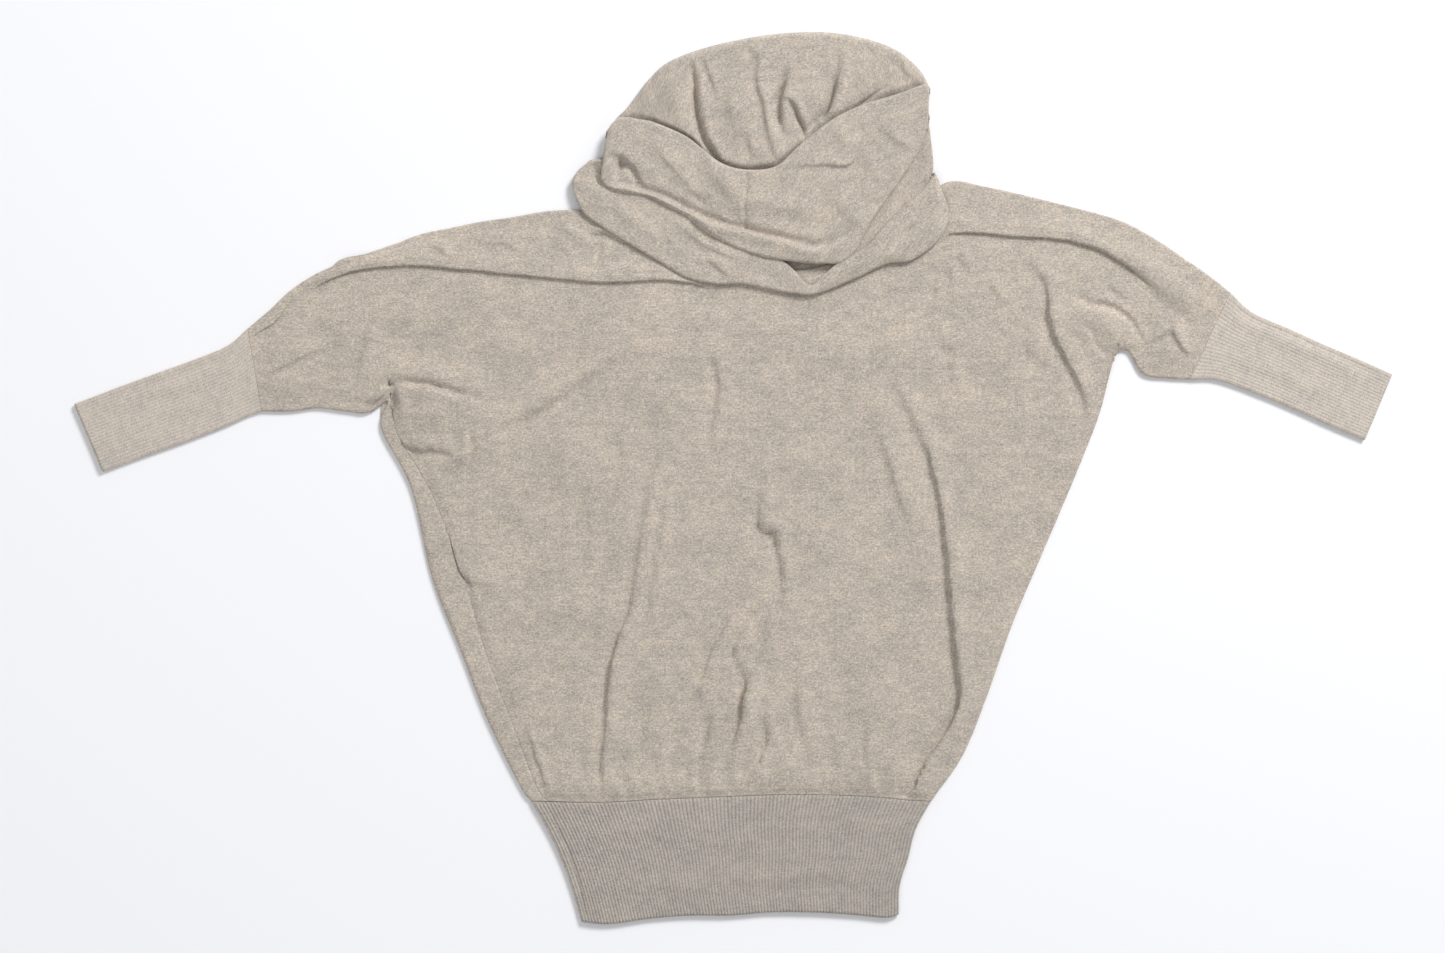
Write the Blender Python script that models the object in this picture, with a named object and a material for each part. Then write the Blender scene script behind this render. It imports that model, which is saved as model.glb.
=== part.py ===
"""A batwing sweater in fine heathered knit, laid flat on its back with its front up.

It has a front and a back that include their sleeves, a deep ribbed hem, long ribbed cuffs
and a large cowl collar that lies folded over the neck. Metres, +Z up, +Y towards the neck,
and the origin is on the surface that it lies on, under the middle of its outline.
Tables are in millimetres, from a point on the chest close to the middle of the outline.
"""

from collections import namedtuple

import bmesh
import bpy
import numpy as np

MM = 0.001
OUTLINE_MIDDLE = np.array([1.5, 0.3, 0.0])  # of the whole outline, in the tables' frame

# Driving sizes of the cloth
WALL = 2.0  # the knit, with its pile
SEAM_GAP = 0.3  # what parts two pieces at a seam, or two layers
COLLAR_SEAM_GAP = 0.8  # the hidden seam of the collar, on a curved neckline
TURN = WALL + SEAM_GAP / 2  # radius of a side where the cloth turns over itself
FRONT_UNDER = WALL + SEAM_GAP  # underside of the front, which lies on the back
FRONT_TOP = FRONT_UNDER + WALL
PLEAT_RISE = 3.4  # height of the roll of cloth that lies along each shoulder
PLEAT_SPREAD = 16.0  # how far up from the pleat that roll reaches
PLEAT_LIP = 3.0  # width of the step down from it
EDGE_DROP = 0.7  # how far the front's rim rounds down

HEM_RIBS = 100  # on the front of the hem
CUFF_RIBS = 23  # on the front of each cuff
RIB_RISE = 0.5

# Levels of the folded collar, from the surface up
FOLD_UNDER = FRONT_TOP + SEAM_GAP
FOLD_TOP = 8.5
MIDDLE_TOP = 7.8
BAND_UNDER = FOLD_TOP + SEAM_GAP
BAND_TOP = 15.0

Station = namedtuple("Station", "top pleat front back")
Fold = namedtuple("Fold", "line width height")

# Lines across the body from its top edge to its lower edge, going from the left cuff to the
# right one: where each meets the top edge, the shoulder pleat, and the lower edge of the
# front and of the back. The back wraps over the left side, so its edge lies further out.
STATIONS = (
    Station((-454, 141), (-452, 129), (-441, 63), (-441, 63)),
    Station((-434, 158), (-428, 148), (-413, 63), (-413, 63)),
    Station((-415, 176), (-408, 170), (-389, 66), (-389, 66)),
    Station((-394, 190), (-391, 182), (-363, 63), (-363, 63)),
    Station((-373, 200), (-370, 190), (-340, 62), (-340, 62)),
    Station((-349, 209), (-347, 196), (-320, 76), (-323, 72)),
    Station((-321, 218), (-319, 199), (-314, 42), (-329, 47)),
    Station((-293, 229), (-293, 199), (-282, -13), (-301, -9)),
    Station((-265, 235), (-265, 197), (-252, -92), (-281, -94)),
    Station((-236, 241), (-235, 195), (-231, -162), (-254, -163)),
    Station((-208, 245), (-204, 191), (-208, -224), (-230, -225)),
    Station((-180, 250), (-172, 188), (-183, -289), (-199, -288)),
    Station((-157, 252), (-142, 185), (-172, -303), (-188, -303)),
    Station((-131, 249), (-103, 184), (-124, -304), (-124, -304)),
    Station((-94, 224), (-63, 186), (-67, -301), (-67, -301)),
    Station((-39, 202), (-18, 182), (-15, -299), (-15, -299)),
    Station((27, 193), (31, 177), (38, -297), (38, -297)),
    Station((93, 202), (93, 180), (93, -297), (93, -297)),
    Station((144, 226), (147, 203), (135, -299), (135, -299)),
    Station((182, 262), (187, 230), (168, -302), (168, -302)),
    Station((205, 279), (215, 231), (187, -303), (187, -303)),
    Station((238, 274), (243, 229), (217, -260), (217, -260)),
    Station((266, 268), (271, 227), (240, -204), (240, -204)),
    Station((295, 261), (299, 225), (264, -136), (264, -136)),
    Station((323, 254), (328, 220), (295, -63), (295, -63)),
    Station((346, 248), (351, 211), (325, 8), (325, 8)),
    Station((370, 240), (375, 198), (347, 66), (347, 66)),
    Station((389, 230), (393, 187), (355, 110), (355, 110)),
    Station((407, 219), (410, 176), (371, 120), (371, 120)),
    Station((426, 206), (426, 165), (386, 98), (386, 98)),
    Station((445, 193), (441, 156), (410, 94), (410, 94)),
    Station((468, 175), (455, 147), (430, 93), (430, 93)),
)
NECK_FROM, NECK_TO = 12, 20  # the stations from the neckline down to the hem rib
HEM_CORNERS = (NECK_FROM, NECK_TO)
BACK_NECK = (
    (-157, 252), (-131, 251), (-94, 246), (-39, 240), (27, 238),
    (93, 241), (144, 251), (182, 265), (205, 279),
)
WRAP_FROM, WRAP_TO = 5, 12  # the stations where the back wraps over the left side

# The largest folds of the front: the line of each, its half width and its height
BODY_FOLDS = (
    Fold(((-67, 17), (-91, -114), (-124, -293)), 15, 2.6),
    Fold(((-50, 17), (-64, -72), (-72, -160)), 12, 1.8),
    Fold(((-23, 121), (-11, 97), (-23, 22)), 13, 1.6),
    Fold(((33, 20), (27, -39), (46, -114)), 13, 2.2),
    Fold(((-11, -147), (-30, -180), (-42, -250)), 12, 2.2),
    Fold(((36, -128), (8, -171), (8, -255)), 13, 2.8),
    Fold(((66, -180), (70, -225), (78, -285)), 11, 1.6),
    Fold(((122, 111), (172, 27), (196, -114), (204, -213), (160, -290)), 15, 3.2),
    Fold(((300, 190), (312, 140), (330, 80), (335, 40)), 13, 3.2),
    Fold(((328, 165), (359, 155), (385, 140)), 11, 2.4),
    Fold(((-431, 132), (-405, 142), (-375, 150)), 10, 2.4),
    Fold(((-342, 137), (-349, 105), (-352, 84)), 10, 2.2),
    Fold(((-296, 82), (-271, 80), (-225, 66)), 11, 3.2),
    Fold(((-236, 52), (-168, 71), (-124, 102)), 13, 2.0),
    Fold(((-286, 30), (-258, 14), (-240, -10)), 12, 2.4),
    Fold(((-272, -48), (-252, -79), (-215, -101)), 12, 2.2),
)

# The hem rib: its left and right sides at even steps down it, and the wave of its open end
HEM_SIDES = ((-188, 187), (-172, 173), (-159, 166), (-149, 158), (-141, 157))
HEM_END = (
    (-141, -416), (-114, -418), (-77, -413), (-39, -410), (-1, -410),
    (36, -407), (74, -407), (111, -409), (144, -412), (157, -409),
)

# The cuffs: the top and bottom edge at each section, from the sleeve out to the end
LEFT_CUFF = (
    ((-454.6, 141), (-441.6, 63)), ((-473, 125), (-453, 59)), ((-501, 113), (-475, 49)),
    ((-537, 100), (-511, 35)), ((-575, 86), (-550, 21)), ((-617, 70), (-590, 6)),
)
RIGHT_CUFF = (
    ((468.6, 175), (430.6, 93)), ((489, 156), (457, 92)), ((525, 140), (499, 77)),
    ((558, 125), (532, 63)), ((589, 112), (563, 49)), ((620, 98), (594, 36)),
)

# The collar's back: its seam at the neckline, its rim, and where its inner layer goes out of
# sight under the front; then the height of the rim there
COLLAR_BACK = (
    # seam, rim, inner end, height
    ((-126, 252), (-122, 300), (-101, 296), 4.3),
    ((-112, 250), (-112, 332), (-86, 305), 5.4),
    ((-94, 247), (-97, 349), (-71, 300), 7.2),
    ((-60, 243), (-77, 375), (-50, 290), 9.5),
    ((-39, 241), (-58, 391), (-25, 275), 10.4),
    ((-10, 240), (-20, 405), (5, 262), 11.0),
    ((27, 239), (36, 416), (40, 262), 11.2),
    ((60, 240), (92, 418), (75, 278), 11.0),
    ((93, 242), (140, 408), (103, 302), 10.0),
    ((120, 247), (168, 392), (128, 322), 8.0),
    ((144, 252), (185, 368), (150, 330), 6.0),
    ((162, 258), (184, 335), (157, 318), 4.9),
    ((174, 263), (189, 292), (168, 292), 4.3),
)
# Creases that run out from the bottom of the cowl to its back rim
COLLAR_BACK_FOLDS = (
    Fold(((-26, 375), (-17, 330), (-10, 308)), 9, 1.7),
    Fold(((20, 372), (32, 340), (38, 305)), 8, 1.4),
    Fold(((58, 374), (49, 352), (45, 330)), 8, 1.7),
    Fold(((108, 376), (92, 345), (82, 326)), 9, 1.7),
    Fold(((146, 366), (120, 350), (96, 338)), 8, 1.3),
)

# The collar's front band, from its rim down to the edge that lies over the fold below
COLLAR_BAND = (
    # rim, lower edge
    ((-115, 331), (-124, 276)),
    ((-103, 338), (-110, 270)),
    ((-86, 336), (-93, 266)),
    ((-72, 333), (-79, 264)),
    ((-44, 321), (-61, 255)),
    ((-28, 309), (-44, 246)),
    ((-9, 295), (-20, 228)),
    ((13, 289), (17, 211)),
    ((41, 292), (50, 204)),
    ((64, 312), (85, 203)),
    ((93, 335), (108, 218)),
    ((121, 349), (135, 249)),
    ((156, 360), (158, 279)),
    ((172, 366), (175, 306)),
    ((185, 371), (184, 330)),
)
COLLAR_BAND_FOLDS = (
    Fold(((-122, 279), (-84, 276), (-56, 268), (-30, 256), (3, 239), (31, 228)), 5, -3.0),
    Fold(((-72, 308), (-44, 284), (-28, 262)), 10, 1.4),
    Fold(((-15, 284), (0, 268)), 9, -1.2),
    Fold(((41, 285), (80, 286), (108, 290), (124, 312)), 8, -1.8),
    Fold(((130, 300), (124, 270)), 10, -1.2),
)

# The fold that lies lowest round the neck: its inner edge, partly out of sight, its outer
# edge, and how far it is lifted by the piece under it
COLLAR_FOLD = (
    # inner edge, outer edge, lift
    ((-119, 297), (-141, 290), 0),
    ((-108, 290), (-149, 278), 0),
    ((-98, 284), (-146, 262), 0),
    ((-85, 278), (-138, 248), 0),
    ((-70, 270), (-122, 236), 0),
    ((-55, 262), (-100, 222), 0),
    ((-38, 250), (-73, 206), 0),
    ((-18, 238), (-42, 188), 0),
    ((5, 228), (-14, 182), 0),
    ((30, 220), (12, 182), 0),
    ((47, 206), (41, 176), 0),
    ((60, 194), (60, 173), 0),
    ((73, 181), (76, 172), 0),
    ((86, 191), (97, 179), 0.6),
    ((105, 206), (120, 189), 1),
    ((124, 216), (146, 201), 1),
    ((137, 230), (168, 204), 1),
    ((151, 246), (190, 219), 1),
    ((164, 257), (202, 237), 1),
    ((177, 267), (203, 252), 1),
    ((184, 275), (197, 268), 1),
    ((187, 283), (192, 281), 1),
)
# The stretch between the band and the right arm of that fold
COLLAR_MIDDLE = (
    # edge under the band, edge under the fold, height that it lies at
    ((92, 217), (101, 200), 4.6),
    ((104, 229), (116, 204), 4.6),
    ((118, 243), (134, 214), 4.6),
    ((132, 260), (151, 229), 4.6),
    ((147, 280), (167, 247), 4.6),
    ((160, 303), (179, 266), 4.8),
    ((168, 322), (186, 291), 5.2),
    ((172, 338), (185, 318), 5.6),
    ((174, 352), (183, 340), 6.2),
)

# Each stretch's section: fractions across it, and the share of its thickness there
BAND_SECTION = (
    (0, 0.22), (0.03, 0.62), (0.1, 1.02), (0.22, 1.0), (0.36, 0.92), (0.5, 0.86),
    (0.64, 0.84), (0.78, 0.86), (0.88, 0.78), (0.96, 0.5), (1, 0.2),
)
FOLD_SECTION = (
    (0, 0.3), (0.08, 0.8), (0.3, 0.97), (0.5, 1.0), (0.7, 0.98), (0.86, 0.8), (0.96, 0.55), (1, 0.26),
)
MIDDLE_SECTION = ((0, 0.4), (0.12, 0.8), (0.4, 1.0), (0.7, 0.95), (1, 0.4))

# Colours of the yarn
BODY_YARN = (0.50, 0.445, 0.385, 1)
RIB_YARN = (0.385, 0.345, 0.305, 1)


def clear_scene():
    for found in list(bpy.data.objects):
        bpy.data.objects.remove(found)


def knit(name, colour):
    """A matt wool-like yarn."""
    material = bpy.data.materials.new(name)
    material.use_nodes = True
    shader = material.node_tree.nodes["Principled BSDF"]
    shader.inputs["Base Color"].default_value = colour
    shader.inputs["Roughness"].default_value = 0.92
    shader.inputs["Metallic"].default_value = 0.0
    return material


def smooth(rows, at, corners=()):
    """The smooth line through a table's rows, read at row numbers with a fraction.

    It turns sharply at the rows in corners.
    """
    rows = np.array(rows, float)
    ends = np.vstack([2 * rows[0] - rows[1], rows, 2 * rows[-1] - rows[-2]])
    cell = np.minimum(np.asarray(at, float).astype(int), len(rows) - 2)
    t = (at - cell)[:, None]
    before, start, end, after = (ends[cell + k] for k in range(4))
    before = np.where(np.isin(cell, corners)[:, None], 2 * start - end, before)
    after = np.where(np.isin(cell + 1, corners)[:, None], 2 * end - start, after)
    cubic = 3 * (start - end) + after - before
    square = 2 * before - 5 * start + 4 * end - after
    return start + 0.5 * t * (end - before + t * (square + t * cubic))


def evenly(rows, count):
    return np.linspace(0, len(rows) - 1, count)


def between(start, end, t):
    return start + (end - start) * t


def lifted(folds, points):
    """How far the folds lift or press the cloth at each (x, y) point."""
    points = np.asarray(points, float)
    up = np.zeros(points.shape[:-1])
    down = np.zeros(points.shape[:-1])
    for fold in folds:
        reach = np.full(points.shape[:-1], np.inf)
        for start, end in zip(fold.line, fold.line[1:]):
            start = np.array(start, float)
            run = np.array(end, float) - start
            t = np.clip((points - start) @ run / (run @ run), 0, 1)
            reach = np.minimum(reach, np.linalg.norm(points - start - t[..., None] * run, axis=-1))
        shape = fold.height * np.exp(-((reach / fold.width) ** 2))
        up = np.maximum(up, shape)
        down = np.minimum(down, shape)
    return up + down


def with_height(points, height):
    height = np.broadcast_to(height, points.shape[:-1])
    return np.concatenate([points, height[..., None]], axis=-1)


def make_object(name, points, faces, material):
    """A closed mesh with its faces pointing out, as one object."""
    mesh = bpy.data.meshes.new(name)
    build = bmesh.new()
    corners = [build.verts.new((point - OUTLINE_MIDDLE) * MM) for point in points]
    for face in faces:
        build.faces.new([corners[index] for index in face])
    bmesh.ops.recalc_face_normals(build, faces=build.faces)
    if build.calc_volume(signed=True) < 0:
        bmesh.ops.reverse_faces(build, faces=build.faces)
    bmesh.ops.triangulate(build, faces=build.faces, quad_method="SHORT_EDGE")
    build.to_mesh(mesh)
    build.free()
    mesh.materials.append(material)
    mesh.shade_smooth()
    made = bpy.data.objects.new(name, mesh)
    bpy.context.scene.collection.objects.link(made)
    return made


def make_wall(name, outer, inner, material, tube=False):
    """A wall between two grids of points, columns by rows, closed at its rims.

    A tube's last column joins its first.
    """
    columns, rows = outer.shape[:2]
    points = np.concatenate([outer.reshape(-1, 3), inner.reshape(-1, 3)])

    def corner(side, column, row):
        return (side * columns + column % columns) * rows + row

    faces = []
    for column in range(columns if tube else columns - 1):
        for row in range(rows - 1):
            for side in (0, 1):
                faces.append((
                    corner(side, column, row), corner(side, column + 1, row),
                    corner(side, column + 1, row + 1), corner(side, column, row + 1),
                ))
        for row in (0, rows - 1):
            faces.append((
                corner(0, column, row), corner(0, column + 1, row),
                corner(1, column + 1, row), corner(1, column, row),
            ))
    for column in () if tube else (0, columns - 1):
        for row in range(rows - 1):
            faces.append((
                corner(0, column, row), corner(0, column, row + 1),
                corner(1, column, row + 1), corner(1, column, row),
            ))
    return make_object(name, points, faces, material)


def body_columns():
    """Row numbers in STATIONS of the body's columns, closer in the middle, which has the folds."""
    at = [0.0]
    for station in range(len(STATIONS) - 1):
        steps = 3 if NECK_FROM <= station < NECK_TO else 2
        at += [station + (step + 1) / steps for step in range(steps)]
    return np.array(at)


def pleat_height(at):
    """The shoulder roll fades out at the cuffs and where it goes under the collar."""
    last = len(STATIONS) - 1
    left = np.interp(at, (0, 1.5, NECK_FROM + 1.5, NECK_FROM + 2.5), (0, 1, 1, 0))
    right = np.interp(at, (NECK_TO, NECK_TO + 1, last - 2, last), (0, 1, 1, 0))
    return PLEAT_RISE * np.maximum(left, right)


def make_front(material):
    """The front and its halves of the sleeves: a roll along each shoulder, then the chest."""
    at = body_columns()
    top = smooth([station.top for station in STATIONS], at)
    pleat = smooth([station.pleat for station in STATIONS], at)
    edge = smooth([station.front for station in STATIONS], at, HEM_CORNERS)
    inward = pleat - edge
    inward /= np.linalg.norm(inward, axis=1)[:, None]
    wraps = (at >= WRAP_FROM) & (at <= WRAP_TO)
    outline = smooth([station.back for station in STATIONS], at, HEM_CORNERS)
    over = edge[wraps] - outline[wraps]
    edge[wraps] += over / np.linalg.norm(over, axis=1)[:, None] * SEAM_GAP * 1.5
    below = pleat - inward * PLEAT_LIP
    roll = pleat_height(at)

    roll_rows = (0, 0.3, 0.55, 0.75, 0.9, 1)
    chest_rows = (0, 0.05, 0.13, 0.21, 0.29, 0.37, 0.45, 0.53, 0.61, 0.69, 0.77, 0.85, 0.93, 0.985, 1)
    outer, inner = [], []
    for t in roll_rows:
        line = between(top, pleat, t)
        away = (1 - t) * np.linalg.norm(pleat - top, axis=1)
        rise = roll * np.exp(-((away / PLEAT_SPREAD) ** 2))
        outer.append(with_height(line, FRONT_TOP + rise - (EDGE_DROP if t == 0 else 0)))
        inner.append(with_height(line, FRONT_UNDER))
    for t in chest_rows:
        line = between(below, edge, t)
        lift = lifted(BODY_FOLDS, line) * np.clip(min(t, 1 - t) / 0.1, 0, 1)
        outer.append(with_height(line, FRONT_TOP + lift - (EDGE_DROP if t == 1 else 0)))
        inner.append(with_height(line, FRONT_UNDER + lift))
    make_wall("front_panel", np.stack(outer, 1), np.stack(inner, 1), material)


def make_back(material):
    """The back and its halves of the sleeves. It lies flat, and turns up over the left side."""
    at = body_columns()
    tops = [station.top for station in STATIONS]
    tops[NECK_FROM:NECK_TO + 1] = BACK_NECK
    top = smooth(tops, at)
    outline = smooth([station.back for station in STATIONS], at, HEM_CORNERS)
    seam = smooth([station.front for station in STATIONS], at, HEM_CORNERS)
    wraps = [i for i in range(len(at)) if WRAP_FROM <= at[i] <= WRAP_TO]
    edge = outline.copy()
    over = seam[wraps] - outline[wraps]
    over /= np.linalg.norm(over, axis=1)[:, None]
    edge[wraps] += over * TURN

    rows = (0, 0.2, 0.4, 0.6, 0.8, 1)
    flat = np.stack([between(top, edge, t) for t in rows], 1)
    columns, count = flat.shape[:2]
    points = [with_height(flat, 0.0).reshape(-1, 3), with_height(flat, WALL).reshape(-1, 3)]

    def corner(side, column, row):
        return (side * columns + column) * count + row

    faces = []
    for column in range(columns - 1):
        for row in range(count - 1):
            for side in (0, 1):
                faces.append((
                    corner(side, column, row), corner(side, column + 1, row),
                    corner(side, column + 1, row + 1), corner(side, column, row + 1),
                ))
        for row in (0, count - 1):
            if row and wraps[0] <= column < wraps[-1]:
                continue
            faces.append((
                corner(0, column, row), corner(0, column + 1, row),
                corner(1, column + 1, row), corner(1, column, row),
            ))
    for column in (0, columns - 1):
        for row in range(count - 1):
            faces.append((
                corner(0, column, row), corner(0, column, row + 1),
                corner(1, column, row + 1), corner(1, column, row),
            ))

    # The turned side: (distance in from the outline, height) round its outside and inside
    outside = ((0.0, TURN), (TURN, FRONT_TOP))
    inside = ((TURN - 0.1, TURN), (TURN, FRONT_UNDER))
    first = 2 * columns * count
    chains = []
    for i, column in enumerate(wraps):
        chain = {0: [corner(0, column, count - 1)], 1: [corner(1, column, count - 1)]}
        for side, section in ((0, outside), (1, inside)):
            for distance, height in section:
                points.append(np.array([[*(outline[column] + over[i] * distance), height]]))
                chain[side].append(first)
                first += 1
            height = section[-1][1]
            points.append(np.array([[*seam[column], height]]))
            chain[side].append(first)
            first += 1
        chains.append(chain)
    for here, there in zip(chains, chains[1:]):
        for side in (0, 1):
            for step in range(3):
                faces.append((
                    here[side][step], there[side][step],
                    there[side][step + 1], here[side][step + 1],
                ))
        faces.append((here[0][3], there[0][3], there[1][3], here[1][3]))
    for chain in (chains[0], chains[-1]):
        for step in range(3):
            faces.append((
                chain[0][step], chain[0][step + 1], chain[1][step + 1], chain[1][step],
            ))
    make_object("back_panel", np.concatenate(points), faces, material)


def make_rib(name, sections, ribs, back_columns, material):
    """A tube of rib knit pressed flat, from pairs of section lines given at 0 to 1 across it.

    sections is a list of functions, each from a fraction across to an (x, y) point.
    """
    front = FRONT_TOP + SEAM_GAP
    middle = front / 2
    across = np.linspace(0, 1, 2 * ribs + 1)
    back_across = np.linspace(1, 0, back_columns)
    ridge = np.where(np.arange(len(across)) % 2, RIB_RISE, 0.0)
    outer, inner = [], []
    for section in sections:
        left, right = section(0.0), section(1.0)
        out = (right - left) / np.linalg.norm(right - left)
        first, last = left + out * middle, right - out * middle
        bend = np.array([section(t) for t in across]) - between(left, right, across[:, None])
        face = between(first, last, across[:, None]) + bend
        bend = np.array([section(t) for t in back_across]) - between(left, right, back_across[:, None])
        back = between(first, last, back_across[:, None]) + bend
        outer.append(np.concatenate([
            with_height(face, front + ridge), with_height(right[None], middle),
            with_height(back, 0.0), with_height(left[None], middle),
        ]))
        inner.append(np.concatenate([
            with_height(face, front - WALL), with_height((last + out * 0.1)[None], middle),
            with_height(back, WALL), with_height((first - out * 0.1)[None], middle),
        ]))
    make_wall(name, np.stack(outer, 1), np.stack(inner, 1), material, tube=True)


def make_hem(material):
    seam = np.array([station.back for station in STATIONS[NECK_FROM:NECK_TO + 1]], float)
    seam = smooth(seam, evenly(seam, 25))
    end = np.array(HEM_END, float)
    sections = []
    for row, (left, right) in enumerate(HEM_SIDES):
        down = row / (len(HEM_SIDES) - 1)

        def section(t, left=left, right=right, down=down):
            top = np.interp(t, (seam[:, 0] - seam[0, 0]) / np.ptp(seam[:, 0]), seam[:, 1])
            low = np.interp(t, (end[:, 0] - end[0, 0]) / np.ptp(end[:, 0]), end[:, 1])
            gap = 2 * SEAM_GAP * (1 - down)
            return np.array([between(left, right, t), between(top, low, down) - gap])

        sections.append(section)
    make_rib("hem_rib", sections, HEM_RIBS, 9, material)


def make_cuff(name, table, material):
    sections = []
    for top, bottom in table:
        top, bottom = np.array(top, float), np.array(bottom, float)
        sections.append(lambda t, top=top, bottom=bottom: between(top, bottom, t))
    make_rib(name, sections, CUFF_RIBS, 5, material)


def make_collar_back(material):
    """From the neckline over the floor to the rim, round it, and back inside the cowl."""
    at = evenly(COLLAR_BACK, 37)
    seam = smooth([row[0] for row in COLLAR_BACK], at)
    rim = smooth([row[1] for row in COLLAR_BACK], at)
    end = smooth([row[2] for row in COLLAR_BACK], at)
    high = smooth([(row[3],) for row in COLLAR_BACK], at)[:, 0]
    seam = seam + (rim - seam) / np.linalg.norm(rim - seam, axis=1)[:, None] * COLLAR_SEAM_GAP
    outer, inner = [], []

    def add(line, under, over):
        """One row: under is the outside face, over the inside one."""
        outer.append(with_height(line[0], under))
        inner.append(with_height(line[1], over))

    to_seam = (seam - rim) / np.linalg.norm(seam - rim, axis=1)[:, None]
    to_end = (end - rim) / np.linalg.norm(end - rim, axis=1)[:, None]
    half = high[:, None] / 2
    for t in (0, 0.5, 1):
        line = between(seam, rim + to_seam * half, t)
        add((line, line), 0.0, WALL)
    add((rim + to_seam * half * 0.15, rim + to_seam * (half * 0.15 + WALL)), high * 0.3, high * 0.3 + 0.8)
    add((rim, rim + to_end * WALL), high * 0.55, high * 0.5)
    add((rim + to_end * half * 0.2, rim + to_end * (half * 0.2 + WALL)), high * 0.85, high * 0.7)
    for t in (0, 0.1, 0.22, 0.36, 0.52, 0.68, 0.84, 1):
        line = between(rim + to_end * half, end, t)
        height = between(high, FRONT_TOP, np.sin(t * np.pi / 2))
        relief = lifted(COLLAR_BACK_FOLDS, line) * np.clip(t / 0.2, 0, 1) * np.clip((1 - t) / 0.2, 0, 1)
        add((line, line), height + relief, height + relief - WALL)
    make_wall("collar_back", np.stack(outer, 1), np.stack(inner, 1), material)


def make_collar_stretch(name, table, count, section, under, thick, folds, material):
    """A stretch of the folded collar, its hidden layers in one solid with round edges.

    section has fractions across and the share of the thickness there. under gives the height
    of the underside, and thick the thickness, at a place along the stretch and across it.
    """
    at = evenly(table, count)
    start = smooth([row[0] for row in table], at)
    end = smooth([row[1] for row in table], at)
    ends = np.clip(np.minimum(np.arange(count), np.arange(count)[::-1]) / 1.5, 0, 1)
    ends = 0.35 + 0.65 * np.sin(ends * np.pi / 2)
    outer, inner = [], []
    for t, share in section:
        line = between(start, end, t)
        base = under(at, t)
        relief = lifted(folds, line) * np.clip(min(t, 1 - t) / 0.08, 0, 1)
        outer.append(with_height(line, base + (share * thick(at) + relief) * ends))
        inner.append(with_height(line, base))
    make_wall(name, np.stack(outer, 1), np.stack(inner, 1), material)


def fold_under(at, t):
    """The underside of the lowest fold: on the front, and on the middle stretch at the right."""
    lift = np.interp(at, range(len(COLLAR_FOLD)), [row[2] for row in COLLAR_FOLD])
    return FOLD_UNDER + lift * (MIDDLE_TOP + SEAM_GAP - FOLD_UNDER) * np.clip((1 - t) / 0.3, 0, 1)


def middle_under(at, t):
    return smooth([(row[2],) for row in COLLAR_MIDDLE], at)[:, 0]


def make_collar(material):
    make_collar_back(material)
    make_collar_stretch(
        "collar_band", COLLAR_BAND, 43, BAND_SECTION, lambda at, t: np.full(len(at), BAND_UNDER),
        lambda at: BAND_TOP - BAND_UNDER, COLLAR_BAND_FOLDS, material,
    )
    make_collar_stretch(
        "collar_fold", COLLAR_FOLD, 43, FOLD_SECTION, fold_under,
        lambda at: FOLD_TOP - FOLD_UNDER, (), material,
    )
    make_collar_stretch(
        "collar_middle", COLLAR_MIDDLE, 17, MIDDLE_SECTION, middle_under,
        lambda at: np.maximum(MIDDLE_TOP - middle_under(at, 0), WALL), (), material,
    )


clear_scene()
body_knit = knit("body_knit", BODY_YARN)
rib_knit = knit("rib_knit", RIB_YARN)
collar_knit = knit("collar_knit", BODY_YARN)
make_back(body_knit)
make_front(body_knit)
make_hem(rib_knit)
make_cuff("cuff_left", LEFT_CUFF, rib_knit)
make_cuff("cuff_right", RIGHT_CUFF, rib_knit)
make_collar(collar_knit)
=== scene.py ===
from collections import namedtuple
from math import pi

import bmesh
import bpy
from mathutils import Matrix, Vector, noise
import numpy as np


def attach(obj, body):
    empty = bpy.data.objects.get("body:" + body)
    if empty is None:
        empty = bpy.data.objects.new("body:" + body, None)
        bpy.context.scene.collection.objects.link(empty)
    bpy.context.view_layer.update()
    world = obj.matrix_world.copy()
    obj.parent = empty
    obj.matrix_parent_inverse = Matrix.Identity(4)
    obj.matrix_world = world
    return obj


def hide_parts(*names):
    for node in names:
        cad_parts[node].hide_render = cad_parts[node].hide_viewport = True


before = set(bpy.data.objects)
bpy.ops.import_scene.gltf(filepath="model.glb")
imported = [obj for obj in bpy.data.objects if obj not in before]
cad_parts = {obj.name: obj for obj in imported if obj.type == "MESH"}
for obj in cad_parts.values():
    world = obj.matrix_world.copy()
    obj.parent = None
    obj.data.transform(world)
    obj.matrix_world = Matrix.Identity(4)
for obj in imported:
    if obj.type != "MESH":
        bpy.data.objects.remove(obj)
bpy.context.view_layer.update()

# Back: one piece of fine heathered knit with its halves of both sleeves, in a batwing cut. It
# lies flat, face down. Its rims turn up to meet the front, and its left side wraps over on to it.

MM = 0.001
OUTLINE_MIDDLE = np.array([1.5, 0.3, 0.0])  # of the whole outline, in the tables' millimetres
KNIT = 1.6  # wall of the cloth
TURN = 2.15  # radius of a side, where the cloth turns over from the back to the front
FRONT_FACE = 2 * TURN  # height of the front's face, where it lies pressed on the back
SEAM_GAP = 0.05

Station = namedtuple("Station", "top pleat front back")

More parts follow.
